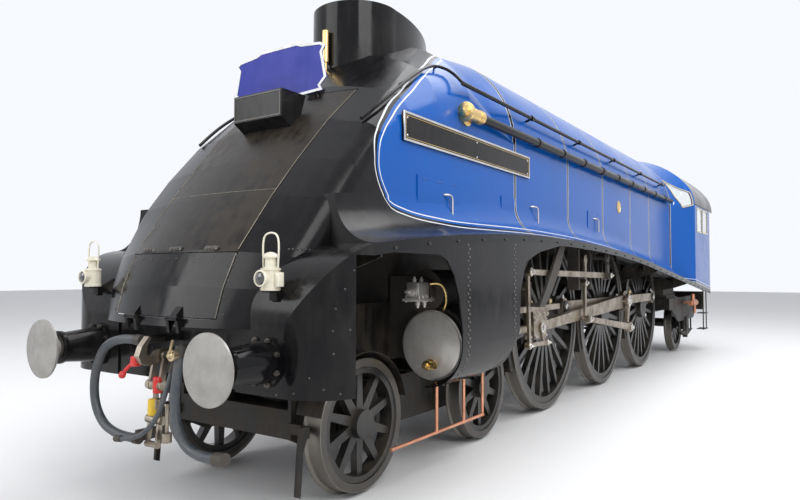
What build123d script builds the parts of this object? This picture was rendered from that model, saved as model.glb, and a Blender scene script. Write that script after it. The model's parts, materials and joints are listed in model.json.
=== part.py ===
from build123d import *
from math import atan2, cos, radians, sin, sqrt, tan
import os

os.makedirs("parts", exist_ok=True)

# A streamlined express steam locomotive, 4-6-2, in millimetres.
# The shapes are drawn with X forward from the leading bogie axle, Y to the left
# and Z up from the rail head. Saving moves them to the middle of the overall length
# and lifts them so that the wheel flanges touch Z = 0.

# Overall sizes
overall_length = 13677
front_overhang = 1480
half_width = 1372
flange_depth = 28
chimney_top = 3988

# Wheels: distance behind the leading axle
tyre_width = 140
back_to_back = 1362
flange_thickness = 30
bogie_radius = 482.5
driver_radius = 1016
trailing_radius = 559
bogie_axles = (0, 1905)
driver_axles = (3581, 5791, 8001)
trailing_axle = 10897
bogie_journal = 83
driver_journal = 105
trailing_journal = 88
journal_clearance = 0.08

# Cranks and rods
crank_throw = 330
left_crank_angle = 149
crank_spacing = 120
crankpin_radius = 60
coupling_pin_end = 958
coupling_rod_inner = 876
coupling_rod_outer = 940
connecting_rod_length = 3353
connecting_rod_inner = 985
connecting_rod_outer = 1060
gear_inner = 1125
gear_outer = 1165

# Cylinders
cylinder_y = 1029
cylinder_front = 660
cylinder_back = 1480
cylinder_radius = 300
piston_rod_radius = 42
valve_y = 950
valve_height = 1440
valve_radius = 175

# Frames
frame_inner = 527
frame_plate = 29
buffer_y = 870
buffer_height = 1054
buffer_head_radius = 203

# Casing
casing_half_width = 1040
casing_centre = 2858
sheet = 12
edge_depth = 75
deck_crest_x = -2400
deck_crest_height = 1946
deck_front_curve = 25500
deck_back_curve = 43400
deck_back_slope = 0.0987
deck_nose_curve = 500
skirt_front = 1045
skirt_bottom = 850
skirt_corner = 350
ear_back = 787
flare_radius = 330
casing_back = -9300
cab_front = -9970
cab_back = -11650
cab_roof = 3950
moving_gap = 6

rear_end = front_overhang - overall_length
shift_x = overall_length / 2 - front_overhang
node_names = []


def save(name, *shapes):
    """Move the shapes to the hand-in frame and write them as one node."""
    solids = []
    for shape in shapes:
        solids += shape.solids()
    place = Location((shift_x, 0, flange_depth))
    moved = [solid.moved(place) for solid in solids]
    export_step(Compound(children=moved) if len(moved) > 1 else moved[0], f"parts/{name}.step")
    node_names.append(name)


def block(x0, x1, y0, y1, z0, z1):
    size = (abs(x1 - x0), abs(y1 - y0), abs(z1 - z0))
    return Pos((x0 + x1) / 2, (y0 + y1) / 2, (z0 + z1) / 2) * Box(*size)


def rod_x(x0, x1, y, z, radius):
    return Pos((x0 + x1) / 2, y, z) * Rot(0, 90, 0) * Cylinder(radius, abs(x1 - x0))


def rod_y(x, y0, y1, z, radius):
    return Pos(x, (y0 + y1) / 2, z) * Rot(90, 0, 0) * Cylinder(radius, abs(y1 - y0))


def rod_z(x, y, z0, z1, radius):
    return Pos(x, y, (z0 + z1) / 2) * Cylinder(radius, abs(z1 - z0))


def side_plane(y):
    """Sketch plane whose local x is X and local y is Z; it extrudes towards -Y."""
    return Plane(origin=(0, y, 0), x_dir=(1, 0, 0), z_dir=(0, -1, 0))


def cross_plane(x):
    """Sketch plane whose local x is Y and local y is Z; it extrudes towards +X."""
    return Plane(origin=(x, 0, 0), x_dir=(0, 1, 0), z_dir=(1, 0, 0))


def side_face(points, y):
    return side_plane(y) * make_face(Polyline(*points, close=True))


def side_plate(points, y0, y1):
    """Flat plate with an outline in X and Z, from y0 to y1."""
    return extrude(side_face(points, max(y0, y1)), abs(y1 - y0))


def plan_plate(points, z0, z1):
    face = Plane.XY.offset(z0) * make_face(Polyline(*points, close=True))
    return extrude(face, z1 - z0)


def mirrored(shape):
    return shape.mirror(Plane.XZ)


def both_sides(shape):
    return [shape, mirrored(shape)]


def eye_bar(start, end, start_radius, end_radius, y0, y1):
    """Link bar: two round eyes joined by a straight tapered web."""
    angle = atan2(end[1] - start[1], end[0] - start[0])
    across = (-sin(angle), cos(angle))
    web = []
    for (x, z), radius, sign in (
        (start, start_radius, 1),
        (end, end_radius, 1),
        (end, end_radius, -1),
        (start, start_radius, -1),
    ):
        reach = sign * radius * 0.62
        web.append((x + across[0] * reach, z + across[1] * reach))
    bar = side_plate(web, y0, y1)
    bar += rod_y(start[0], y0, y1, start[1], start_radius)
    bar += rod_y(end[0], y0, y1, end[1], end_radius)
    return bar


def deck_height(x):
    """Height of the running plate's upper edge at a place along the engine."""
    if x > deck_crest_x:
        return deck_crest_height - (x - deck_crest_x) ** 2 / (2 * deck_front_curve)
    run = deck_crest_x - x
    bend = deck_back_slope * deck_back_curve
    if run < bend:
        return deck_crest_height - run**2 / (2 * deck_back_curve)
    return deck_crest_height - bend**2 / (2 * deck_back_curve) - (run - bend) * deck_back_slope


# The nose of the running plate leaves the long curve here and turns down to the skirt's front
nose_start_x = skirt_front - deck_nose_curve * 0.883
nose_start_z = deck_height(nose_start_x)
nose_slope = atan2(nose_start_x - deck_crest_x, deck_front_curve)
nose_end_z = nose_start_z - deck_nose_curve * cos(nose_slope)
nose_centre_x = nose_start_x - deck_nose_curve * sin(nose_slope)
nose_mid_x = nose_centre_x + deck_nose_curve * sin(radians(50))
nose_mid_z = nose_start_z - deck_nose_curve * (cos(nose_slope) - cos(radians(50)))
skirt_front_x = nose_centre_x + deck_nose_curve


def under_deck(x0, x1, drop=0):
    """Everything below the running plate's upper edge, as a block across the engine."""
    marks = (x0, (x0 + deck_crest_x) / 2, deck_crest_x)
    bend_x = deck_crest_x - deck_back_slope * deck_back_curve
    middle = (deck_crest_x + bend_x) / 2
    top = [(x, deck_height(x) - drop) for x in marks]
    front = ThreePointArc(*top)
    back = ThreePointArc(top[2], (middle, deck_height(middle) - drop), (bend_x, deck_height(bend_x) - drop))
    tail = Polyline(
        (bend_x, deck_height(bend_x) - drop),
        (x1, deck_height(x1) - drop),
        (x1, -500),
        (x0, -500),
        top[0],
    )
    outline = make_face(Wire([*front.edges(), *back.edges(), *tail.edges()]))
    return extrude(side_plane(2000) * outline, 4000)


def arch(plane, half, base, depth, rise, shoulder):
    """Closed section: straight sides, then a three-centred arch that ends at depth."""
    crown = (rise**2 + half**2 - 2 * half * shoulder) / (2 * (rise - shoulder))
    spring = depth - rise
    lean = atan2(crown - rise, half - shoulder)
    join = (half - shoulder + shoulder * cos(lean), spring + shoulder * sin(lean))
    mid_lean = lean / 2
    mid = (half - shoulder + shoulder * cos(mid_lean), spring + shoulder * sin(mid_lean))
    outline = [
        Line((-half, base), (-half, spring)),
        ThreePointArc((-half, spring), (-mid[0], mid[1]), (-join[0], join[1])),
        ThreePointArc((-join[0], join[1]), (0, depth), join),
        ThreePointArc(join, mid, (half, spring)),
        Line((half, spring), (half, base)),
        Line((half, base), (-half, base)),
    ]
    wire = Wire([edge for line in outline for edge in line.edges()])
    return plane * make_face(wire)


# Nose casing: sections in planes that fan about a cross line low in the smokebox.
# columns: fan angle, half width, reach from the line, rise of the arch, shoulder radius
fan_x = -700
fan_z = 1240
fan_base = 300
nose_sections = (
    (0, 800, 1905, 280, 170),
    (8, 880, 1850, 290, 170),
    (16, 965, 1800, 330, 190),
    (32, 1030, 1672, 255, 160),
    (45, 1040, 1660, 235, 150),
    (60, 1040, 1745, 260, 170),
    (75, 1040, 1945, 390, 270),
    (90, 1040, 2290, 680, 560),
)
# columns: X, reach, rise, shoulder radius, for the upright sections behind the fan
crown_back = -2200
crown_sections = (
    (-1300, 2560, 900, 800),
    (crown_back, 2658, 1038, 900),
)


def nose_solid(inset):
    """Closed body of the nose and its crown, or the hollow inside it."""
    base = fan_base - 3 * inset
    faces = []
    for angle, half, reach, rise, shoulder in nose_sections:
        turn = radians(angle)
        plane = Plane(origin=(fan_x, 0, fan_z), x_dir=(0, 1, 0), z_dir=(sin(turn), 0, -cos(turn)))
        faces.append(arch(plane, half - inset, base, reach - inset, rise - inset, shoulder - inset))
    for x, reach, rise, shoulder in crown_sections:
        back = x - 3 * inset if x == crown_back else x
        plane = Plane(origin=(back, 0, fan_z), x_dir=(0, 1, 0), z_dir=(1, 0, 0))
        half = casing_half_width - inset
        faces.append(arch(plane, half, base, reach - inset, rise - inset, shoulder - inset))
    return loft(faces, ruled=True)


def horseshoe(x, half, base):
    """Cross-section of the boiler casing: upright sides under a half circle."""
    centre = casing_centre
    round_top = ThreePointArc((-half, centre), (0, centre + half), (half, centre))
    sides = Polyline((half, centre), (half, base), (-half, base), (-half, centre))
    return cross_plane(x) * make_face(Wire([*round_top.edges(), *sides.edges()]))


def cab_arch(x, inset, base):
    """Cross-section of the cab: upright sides under a flatter arch."""
    rise = 1000 - inset
    return arch(cross_plane(x), half_width - inset, base, cab_roof - inset, rise, 650 - inset)


def door_prism(width_top, width_bottom, top, bottom, grow=0):
    """Front outline of a nose door, carried through the nose from front to back."""
    points = (
        (-width_top - grow, top + grow),
        (width_top + grow, top + grow),
        (width_bottom + grow, bottom - grow),
        (-width_bottom - grow, bottom - grow),
    )
    face = cross_plane(-420) * make_face(Polyline(*points, close=True))
    return extrude(face, 2200)


door_top = 3030
door_split = 1720
door_bottom = 1300
door_half_top = 600
door_half_split = 545
door_half_bottom = 525
# columns: hinge axis X and Z, then the skin's direction away from the hinge along the door
upper_hinge = (-88, 3044, 0.706, -0.708)
lower_hinge = (1214, 1294, -0.27, 0.963)
hinge_pin = 7
hinge_bore = hinge_pin + 0.1
knuckle = 15
knuckle_y = 220
knuckle_half = 30
ear_width = 26
hinge_gap = 3
leaf_length = 85
leaf_reach = 45


def hinge(place, skin):
    """Door leaves with their barrels, and the fixed ears with the pins through them."""
    x, z, along_x, along_z = place
    out_x, out_z = (-along_z, along_x) if along_z < 0 else (along_z, -along_x)
    leaves, ears = [], []
    for side in (-1, 1):
        middle = side * knuckle_y
        edge = knuckle_half + hinge_gap
        spans = (
            (leaves, 1, middle - knuckle_half, middle + knuckle_half),
            (ears, -1, middle - edge - ear_width, middle - edge),
            (ears, -1, middle + edge, middle + edge + ear_width),
        )
        for group, way, y0, y1 in spans:
            points = []
            for along, out in ((0, 6), (leaf_length, -leaf_reach + 12), (leaf_length, -leaf_reach), (4, -leaf_reach), (4, -6)):
                points.append((x + along_x * way * along + out_x * out, z + along_z * way * along + out_z * out))
            piece = side_plate(points, y0, y1) + rod_y(x, y0, y1, z, knuckle) - skin
            group.append(piece - rod_y(x, y0 - 1, y1 + 1, z, hinge_bore) if way == 1 else piece)
        ears.append(rod_y(x, middle - edge - 1, middle + edge + 1, z, hinge_pin))
    return leaves, ears


def fused(first, others):
    for other in others:
        first = first + other
    return first


def build_front():
    outer = nose_solid(0)
    shell = outer - nose_solid(sheet) - under_deck(nose_start_x, rear_end) - skirt_body(0)
    upper_cut = door_prism(door_half_top, door_half_split, door_top, door_split)
    lower_cut = door_prism(door_half_split, door_half_bottom, door_split - moving_gap, door_bottom)
    room = door_prism(door_half_top, door_half_split, door_top, door_split - 1, moving_gap)
    room += door_prism(door_half_split, door_half_bottom, door_split, door_bottom, moving_gap)
    upper_leaves, upper_ears = hinge(upper_hinge, outer)
    lower_leaves, lower_ears = hinge(lower_hinge, outer)
    save("nose_casing", fused(shell - room, upper_ears + lower_ears))
    save("nose_door_upper", fused(shell & upper_cut, upper_leaves))
    save("nose_door_lower", fused(shell & lower_cut, lower_leaves))
    return outer


def skirt_body(inset):
    """The deck's turned-down nose, carried across the engine, with rounded front corners."""
    radius = deck_nose_curve - inset
    centre_z = nose_end_z
    front = nose_centre_x + radius
    start = (nose_centre_x + radius * sin(nose_slope), centre_z + radius * cos(nose_slope))
    middle = (nose_centre_x + radius * sin(radians(50)), centre_z + radius * cos(radians(50)))
    end = (front, centre_z)
    low = skirt_bottom - inset
    curve = ThreePointArc(start, middle, end)
    rest = Polyline(end, (front, low), (start[0], low), start)
    half = half_width - inset
    face = side_plane(half) * make_face(Wire([*curve.edges(), *rest.edges()]))
    plan = block(start[0] - 10, front, -half, half, 0, 2500)
    plan = fillet(plan.edges().filter_by(Axis.Z).group_by(Axis.X)[-1], skirt_corner - inset)
    return extrude(face, 2 * half) & plan


def build_skirt(nose):
    """Front skirt: the deck's nose and the two cheeks in front of the bogie."""
    shell = skirt_body(0) - skirt_body(sheet) - nose
    shell -= block(0, 2000, -620, 620, 0, 1238)
    shell -= block(0, ear_back, -2000, 2000, 0, 1690)
    return shell


def deck_section(x):
    """Flare, deck and edge angle of the left running plate, cut across at x."""
    top = deck_height(x)
    reach = half_width - casing_half_width
    lean = 1 - sin(radians(45))
    inner = casing_half_width - 120
    arc = ThreePointArc(
        (half_width, top),
        (casing_half_width + reach * lean, top + flare_radius * lean),
        (casing_half_width, top + flare_radius),
    )
    rest = Polyline(
        (casing_half_width, top + flare_radius),
        (inner, top + flare_radius),
        (inner, top - sheet),
        (half_width - 20, top - sheet),
        (half_width - 20, top - edge_depth),
        (half_width, top - edge_depth),
        (half_width, top),
    )
    return cross_plane(x) * make_face(Wire([*arc.edges(), *rest.edges()]))


def casing_solid():
    """Boiler casing as a closed body, for cutting what stands against it."""
    return extrude(horseshoe(cab_front - 10, casing_half_width, 600), crown_back - cab_front + 100)


def cab_wedge(inset):
    """Closed body of the cab front's slope, or the hollow inside it."""
    reach = inset * 3
    narrow = casing_half_width - inset
    top = casing_centre + narrow
    small = arch(cross_plane(casing_back + reach), narrow, 600 - reach, top, narrow - 2, 620)
    return loft([small, cab_arch(cab_front - reach, inset, 600 - reach)], ruled=True)


stringer_front = -5300
stringer_back = -8970
stringer_y = 1130
stringer_depth = 100


def sloping_bar(x0, x1, y0, y1, top, bottom):
    """Bar that follows the running plate, between two depths below its upper edge."""
    body = block(x0, x1, y0, y1, 600, 2200)
    return (body & under_deck(nose_start_x, rear_end, top)) - under_deck(nose_start_x, rear_end, bottom)


def build_decks(nose):
    """Running plates: the flare up to the casing, the deck and its edge angle."""
    marks = [nose_start_x, 100, -500, -1100, -1750, -2400, -3100, -3900, -4700, -5500, -6200, cab_front]
    deck = loft([deck_section(x) for x in marks], ruled=True)
    deck = deck - nose - casing_solid()
    deck = largest(deck - (cab_wedge(0) - under_deck(nose_start_x, rear_end)))
    deck += sloping_bar(cab_back, cab_front, half_width - 120, half_width, 0, sheet)
    deck += sloping_bar(cab_back, cab_front, half_width - 20, half_width, 0, edge_depth)
    deck += sloping_bar(stringer_back, stringer_front, stringer_y, stringer_y + 20, sheet - 1, stringer_depth)
    save("running_plates", *both_sides(deck))
    return deck


def opening(points):
    """Outline in X and Z, carried across the whole engine, for cutting side sheets."""
    return side_plate(points, -2000, 2000)


def build_casing():
    """Boiler casing, cab front, cab sides and roof: sheets of one thickness."""
    length = crown_back - casing_back
    outer = extrude(horseshoe(casing_back, casing_half_width, 600), length)
    inner = extrude(horseshoe(casing_back - 10, casing_half_width - sheet, 500), length + 20)
    below = under_deck(nose_start_x, rear_end)
    save("boiler_casing", outer - inner - below)

    slope = cab_wedge(0) - cab_wedge(sheet) - below
    ring = extrude(horseshoe(casing_back - sheet, casing_half_width - sheet - 1, 700), sheet)
    ring = (ring - extrude(horseshoe(casing_back - 60, firebox_half, 600), 100)) - below
    window = opening(cab_front_window)
    save("cab_front", slope - window, ring)

    spring = cab_roof - cab_rise
    cab = extrude(cab_arch(cab_back, 0, 600), cab_front - cab_back)
    cab -= extrude(cab_arch(cab_back - 10, sheet, 500), cab_front - cab_back + 20)
    cab -= below
    sides = cab & block(cab_back, cab_front, 0, 2000, 0, spring)
    panes = both_sides((slope & opening(cab_front_window) & block(-12000, 0, 0, 2000, 0, 4000)).solids()[0])
    for low, high in cab_side_windows:
        sides -= block(low[0], high[0], 0, 2000, low[1], high[1])
        panes += both_sides(block(low[0], high[0], half_width - 9, half_width - 4, low[1], high[1]))
    pillar_x = cab_back - 50
    pillar_y = half_width - 32
    sides += rod_z(pillar_x, pillar_y, deck_height(cab_back), 2930, 17)
    for z in (1560, 2880):
        sides += block(pillar_x, cab_back, pillar_y - 6, pillar_y + 26, z, z + 30)
    save("cab_side_left", sides)
    save("cab_side_right", mirrored(sides))
    save("cab_windows", *panes)
    roof = extrude(cab_arch(roof_back, 0, 600), cab_front - roof_back)
    roof -= extrude(cab_arch(roof_back - 10, sheet, 500), cab_front - roof_back + 20)
    save("cab_roof", roof & block(roof_back - 1, cab_front, -2000, 2000, spring, 5000))


firebox_half = 960
cab_rise = 1000
roof_back = -12000
cab_front_window = ((-9360, 3380), (-9900, 3190), (-9900, 2960), (-9640, 2900))
# each window: low corner, high corner, in X and Z
cab_side_windows = (((-10690, 2450), (-10190, 2900)), ((-11320, 2450), (-10820, 2900)))
cab_floor_top = 1540
backhead_back = -10450


def build_cab_inside():
    floor = block(backhead_back - 10, cab_back, -half_width + sheet, half_width - sheet, 1500, cab_floor_top)
    floor += block(cab_back, -11900, -half_width + 82, half_width - 82, 1500, cab_floor_top)
    for x in (-10750, -11750):
        floor += block(x - 50, x + 50, -frame_inner - frame_plate, frame_inner + frame_plate, frame_low_top, 1500)
    save("cab_floor", floor)
    section = arch(cross_plane(backhead_back), 900, firebox_bottom, 3350, 800, 500)
    backhead = extrude(section, cab_front - backhead_back)
    backhead += rod_x(backhead_back - 40, backhead_back, 0, 1990, 210)
    backhead += block(backhead_back - 30, backhead_back, -500, 500, 2750, 2820)
    save("backhead", backhead)
    seats = []
    for side in (-1, 1):
        seat = block(-11260, -10900, side * 1000 - 170, side * 1000 + 170, 1960, 2010)
        seat += block(-11300, -11260, side * 1000 - 170, side * 1000 + 170, 1960, 2300)
        seat += rod_z(-11080, side * 1000, cab_floor_top, 1960, 45)
        seats.append(seat)
    save("cab_seats", *seats)


def teardrop(front, widest, tail, half, tail_radius, z0, z1):
    """Chimney plan: round nose, widest a third of the way back, narrow round tail."""
    nose = ThreePointArc((widest, half), (front, 0), (widest, -half))
    bulge = (widest + tail) / 2
    right = ThreePointArc((widest, -half), (bulge, -half * 0.78), (tail, -tail_radius))
    end = ThreePointArc((tail, -tail_radius), (tail - tail_radius, 0), (tail, tail_radius))
    left = ThreePointArc((tail, tail_radius), (bulge, half * 0.78), (widest, half))
    wire = Wire([*nose.edges(), *right.edges(), *end.edges(), *left.edges()])
    return extrude(Plane.XY.offset(z0) * make_face(wire), z1 - z0)


chimney_front = -535
chimney_widest = -1000
chimney_tail = -2070
chimney_base = 3300
chimney_half = 400
chimney_bores = (-950, -1420)
chimney_bore = 190
whistle_x = -495


def largest(shape):
    return sorted(shape.solids(), key=lambda solid: -solid.volume)[0]


def build_chimney(nose):
    body = teardrop(chimney_front, chimney_widest, chimney_tail, chimney_half, 60, chimney_base, chimney_top)
    for x in chimney_bores:
        body -= rod_z(x, 0, chimney_top - 90, chimney_top + 10, chimney_bore)
    save("chimney", largest(body - nose))
    tube = rod_z(whistle_x, 0, 3480, 3720, 30) + rod_z(whistle_x, 0, 3250, 3480, 14) + rod_z(whistle_x, 0, 3440, 3480, 30)
    save("whistle", largest(tube - nose))


# Smokebox, boiler and firebox stand as one heavy block inside the casing
smokebox_front = -430
barrel_front = -2200
firebox_front = -6700
firebox_bottom = 1500
wheel_room = 2120
frame_step = -9150


def build_boiler():
    smokebox = rod_x(barrel_front, smokebox_front, 0, 2420, 800)
    door = rod_x(smokebox_front, smokebox_front + 45, 0, 2330, 560)
    door += rod_x(smokebox_front, smokebox_front + 80, 0, 2330, 60)
    barrel = rod_x(firebox_front, barrel_front, 0, casing_centre, 900)
    firebox = extrude(horseshoe(cab_front, firebox_half, wheel_room), firebox_front - cab_front)
    firebox += block(frame_step, firebox_front, -540, 540, firebox_bottom, wheel_room + 100)
    firebox += block(cab_front, frame_step - 10, -firebox_half, firebox_half, firebox_bottom, wheel_room + 100)
    saddle = block(-1900, -700, -frame_inner, frame_inner, frame_top - 200, 1800)
    pan = block(-10250, -9310, -900, 900, frame_low_top, firebox_bottom)
    for side in (-1, 1):
        pan += block(-10150, -9400, side * 570, side * 940, 900, frame_low_top)
    save("boiler", smokebox + door + barrel + firebox + saddle + pan)


frame_top = 1340
frame_low_top = 1180
frame_bottom = 690
frame_front = 1003
frame_back = -12100
box_half = 160
# each stretcher: front X, back X, bottom, top
stretchers = (
    (760, 720, 880, 1320),
    (-150, -190, 880, 1320),
    (-800, -1105, 860, 1000),
    (-2620, -2660, 880, 1320),
    (-4666, -4706, 720, 1320),
    (-6876, -6916, 720, 1320),
    (-9130, -9170, 720, 1320),
    (-10400, -10440, 860, 1170),
)
pivot_x = -(bogie_axles[0] + bogie_axles[1]) / 2
pivot_radius = 70
drag_pin_x = -11950
drag_pin_radius = 40


# columns: X of the bracket that carries the running plate, top of the frame there
deck_bracket_places = ((520, frame_top), (-6850, frame_top), (-9100, frame_top))


def deck_bracket(x, foot):
    """Plate from the frame out to the running plate's edge, clear of the coupling rods."""
    top = deck_height(x) - edge_depth
    outer = half_width - 22
    root = frame_inner + frame_plate
    points = ((root - 1, foot - 140), (root - 1, foot - 5), (860, top + 80), (outer, top + 80), (outer, top - 20),
              (stringer_y + 30, top - 85), (860, top - 150))
    face = cross_plane(x - 10) * make_face(Polyline(*points, close=True))
    plate = extrude(face, 20) & under_deck(nose_start_x, rear_end, sheet)
    if stringer_back < x < stringer_front:
        plate -= block(x - 20, x + 20, stringer_y - 5, stringer_y + 25, deck_height(x) - stringer_depth - 5, 2200)
    return plate


def build_frames(deck):
    outline = (
        (frame_front, frame_top),
        (-9150, frame_top),
        (-9300, frame_low_top),
        (frame_back, frame_low_top),
        (frame_back, 820),
        (-9400, 820),
        (-9150, frame_bottom),
        (-2900, frame_bottom),
        (-2700, 860),
        (frame_front, 860),
    )
    plate = side_plate(outline, frame_inner, frame_inner + frame_plate)
    plate += block(-8900, -8700, frame_inner, frame_inner + frame_plate, frame_top - 10, firebox_bottom)
    for distance in driver_axles:
        plate -= block(-distance - box_half - 0.2, -distance + box_half + 0.2, 0, 700, 0, driver_radius + 180)
    body = plate + mirrored(plate)
    for front, back, low, high in stretchers:
        body += block(back, front, -frame_inner, frame_inner, low, high)
    body += rod_z(pivot_x, 0, 640, 870, pivot_radius)
    brackets = []
    for x, foot in deck_bracket_places:
        brackets += both_sides(largest(deck_bracket(x, foot) - deck - body))
    drag = block(frame_back, -11600, -frame_inner, frame_inner, 820, frame_low_top)
    drag += block(rear_end, frame_back, -1150, 1150, 800, 1200)
    drag -= block(rear_end - 10, -11700, -160, 160, 940, 1060)
    drag -= rod_z(drag_pin_x, 0, 0, 2000, drag_pin_radius)
    save("main_frames", body + drag)
    save("deck_brackets", *brackets)
    boxes = []
    for distance in driver_axles:
        for side in (-1, 1):
            box = block(-distance - box_half, -distance + box_half, side * 505, side * 645, 846, driver_radius + 180)
            box -= rod_y(-distance, 400, 700, driver_radius, driver_journal + journal_clearance)
            box -= rod_y(-distance, -400, -700, driver_radius, driver_journal + journal_clearance)
            boxes.append(box)
    save("driving_axleboxes", *boxes)


beam_back = 1003
dome_radius = 1450
beam_face = 1033


def build_beam():
    beam = block(beam_back, beam_face, -1020, 1020, 862, 1236)
    save("buffer_beam", beam)
    stocks, heads = [], []
    for side in (-1, 1):
        outline = (
            (skirt_front_x, 0), (skirt_front_x, 155), (skirt_front_x + 18, 155), (skirt_front_x + 18, 128),
            (1330, 104), (1330, 116), (1352, 116), (1352, 0),
        )
        face = Plane.XY * make_face(Polyline(*outline, close=True))
        stocks.append(Pos(0, side * buffer_y, buffer_height) * revolve(face, Axis.X))
        flat = buffer_head_radius * 0.2
        back = [sqrt(dome_radius**2 - r**2) - sqrt(dome_radius**2 - flat**2) for r in (buffer_head_radius, 110)]
        dome = ThreePointArc((front_overhang + back[0], buffer_head_radius), (front_overhang + back[1], 110),
                             (front_overhang, flat))
        rest = Polyline((front_overhang, flat), (front_overhang, 0), (1352, 0), (1352, 66), (1440, 66), (1452, 120),
                        (1452, buffer_head_radius), (front_overhang + back[0], buffer_head_radius))
        face = Plane.XY * make_face(Wire([*dome.edges(), *rest.edges()]))
        heads.append(Pos(0, side * buffer_y, buffer_height) * revolve(face, Axis.X))
    save("buffer_stocks", *stocks)
    save("buffer_heads", *heads)
    hook = side_plate(
        (
            (beam_face, 1026), (1150, 1004), (1235, 982), (1292, 1000), (1312, 1050), (1290, 1112),
            (1240, 1172), (1224, 1164), (1250, 1110), (1256, 1062), (1225, 1036), (1190, 1050),
            (1150, 1080), (beam_face, 1082),
        ),
        -26, 26,
    )
    hook -= rod_y(1130, -40, 40, 1040, 20)
    coupling = rod_y(1130, -62, 62, 1040, 19.7)
    for side in (-1, 1):
        coupling += eye_bar((1130, 1040), (1165, 850), 30, 34, side * 40, side * 62)
    coupling += rod_y(1165, -80, 80, 850, 30) + rod_z(1165, 0, 600, 850, 18) + rod_y(1165, -80, 80, 625, 28)
    for side in (-1, 1):
        coupling += eye_bar((1165, 625), (1185, 470), 26, 22, side * 40, side * 60)
    coupling += rod_y(1185, -60, 60, 470, 20) + rod_z(1165, 0, 700, 760, 40)
    coupling += rod_y(1165, 30, 130, 730, 10) + rod_z(1165, 120, 520, 735, 12) + rod_z(1165, 120, 495, 555, 32)
    save("hook_and_coupling", hook, coupling)


bogie_box_half = 103
bogie_plate_inner = 560
bogie_plate_outer = 590
cover_inner = 626


def ring_band(x, z, radius, thickness, y0, y1, start, end):
    """Curved plate round an axle line, from a start to an end angle."""
    points = []
    for r, angles in ((radius, (start, (start + end) / 2, end)), (radius + thickness, (end, (start + end) / 2, start))):
        points.append([(x + r * cos(radians(a)), z + r * sin(radians(a))) for a in angles])
    inner, outer = ThreePointArc(*points[0]), ThreePointArc(*points[1])
    ends = [Line(points[0][2], points[1][0]), Line(points[1][2], points[0][0])]
    wire = Wire([*inner.edges(), *ends[0].edges(), *outer.edges(), *ends[1].edges()])
    return extrude(side_plane(y1) * make_face(wire), y1 - y0)


def build_bogie():
    back = -bogie_axles[1]
    outline = ((520, 720), (back - 520, 720), (back - 520, 440), (back - 300, 330), (300, 330), (520, 440))
    plate = side_plate(outline, bogie_plate_inner, bogie_plate_outer)
    for distance in bogie_axles:
        half = bogie_box_half + 0.2
        plate -= block(-distance - half, -distance + half, 500, 700, 0, bogie_radius + 125)
    post = block(-20, 20, bogie_plate_outer - 1, cover_inner + 25, 640, 700) + block(-20, 20, cover_inner, cover_inner + 25, 640, 1008)
    cover = ring_band(0, bogie_radius, bogie_radius + flange_depth + 12, 6, cover_inner, 850, 15, 165)
    iron = side_plate(((520, 560), (600, 560), (622, 400), (640, 120), (602, 105), (578, 400), (545, 480), (520, 480)), 735, 762)
    iron += block(520, 545, bogie_plate_outer - 5, 762, 490, 560)
    left = plate + post + cover + iron
    body = left + mirrored(left)
    for x0, x1, low, high in ((500, 520, 440, 640), (back - 520, back - 500, 440, 640), (pivot_x - 220, pivot_x + 220, 520, 660)):
        body += block(x0, x1, -bogie_plate_inner - 1, bogie_plate_inner + 1, low, high)
    body += rod_z(pivot_x, 0, 640, 854, 240)
    body -= rod_z(pivot_x, 0, 400, 900, pivot_radius + 0.1)
    save("bogie_frame", body)
    boxes = []
    for distance in bogie_axles:
        for side in (-1, 1):
            box = block(-distance - bogie_box_half, -distance + bogie_box_half, side * 520, side * 640, 370, bogie_radius + 125)
            box -= rod_y(-distance, side * 400, side * 700, bogie_radius, bogie_journal + journal_clearance)
            boxes.append(box)
    save("bogie_axleboxes", *boxes)


trailing_plate_inner = 985
trailing_plate_outer = 1013
trailing_box_inner = 925
trailing_box_outer = 1045


def build_trailing():
    x = -trailing_axle
    outline = ((-9300, 1120), (-12060, 1120), (-12060, 860), (-11700, 640), (-10100, 640), (-9500, 900), (-9300, 900))
    plate = side_plate(outline, trailing_plate_inner, trailing_plate_outer)
    plate += block(x - 230, x + 230, trailing_plate_inner, trailing_plate_outer, 425, 700)
    plate -= block(x - 121.2, x + 121.2, 900, 1100, 0, 700)
    for front in (-9300, -12020):
        plate += block(front - 40, front, frame_inner + frame_plate, trailing_plate_inner + 5, 900, 1100)
    save("trailing_frames", *both_sides(plate))
    box = block(x - 121, x + 121, trailing_box_inner, trailing_box_outer, 432, 700)
    box -= rod_y(x, 900, trailing_box_outer - 10, trailing_radius, trailing_journal + journal_clearance)
    leaves = block(x - 60, x + 60, 950, 1030, 270, 432)
    for step in range(6):
        half = 640 - step * 90
        leaves += block(x - half, x + half, 955, 1025, 400 - step * 16, 414 - step * 16)
    for side in (-1, 1):
        leaves += rod_z(x + side * 610, 990, 400, 640, 17)
    save("trailing_axleboxes", *both_sides(box + leaves))


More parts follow.
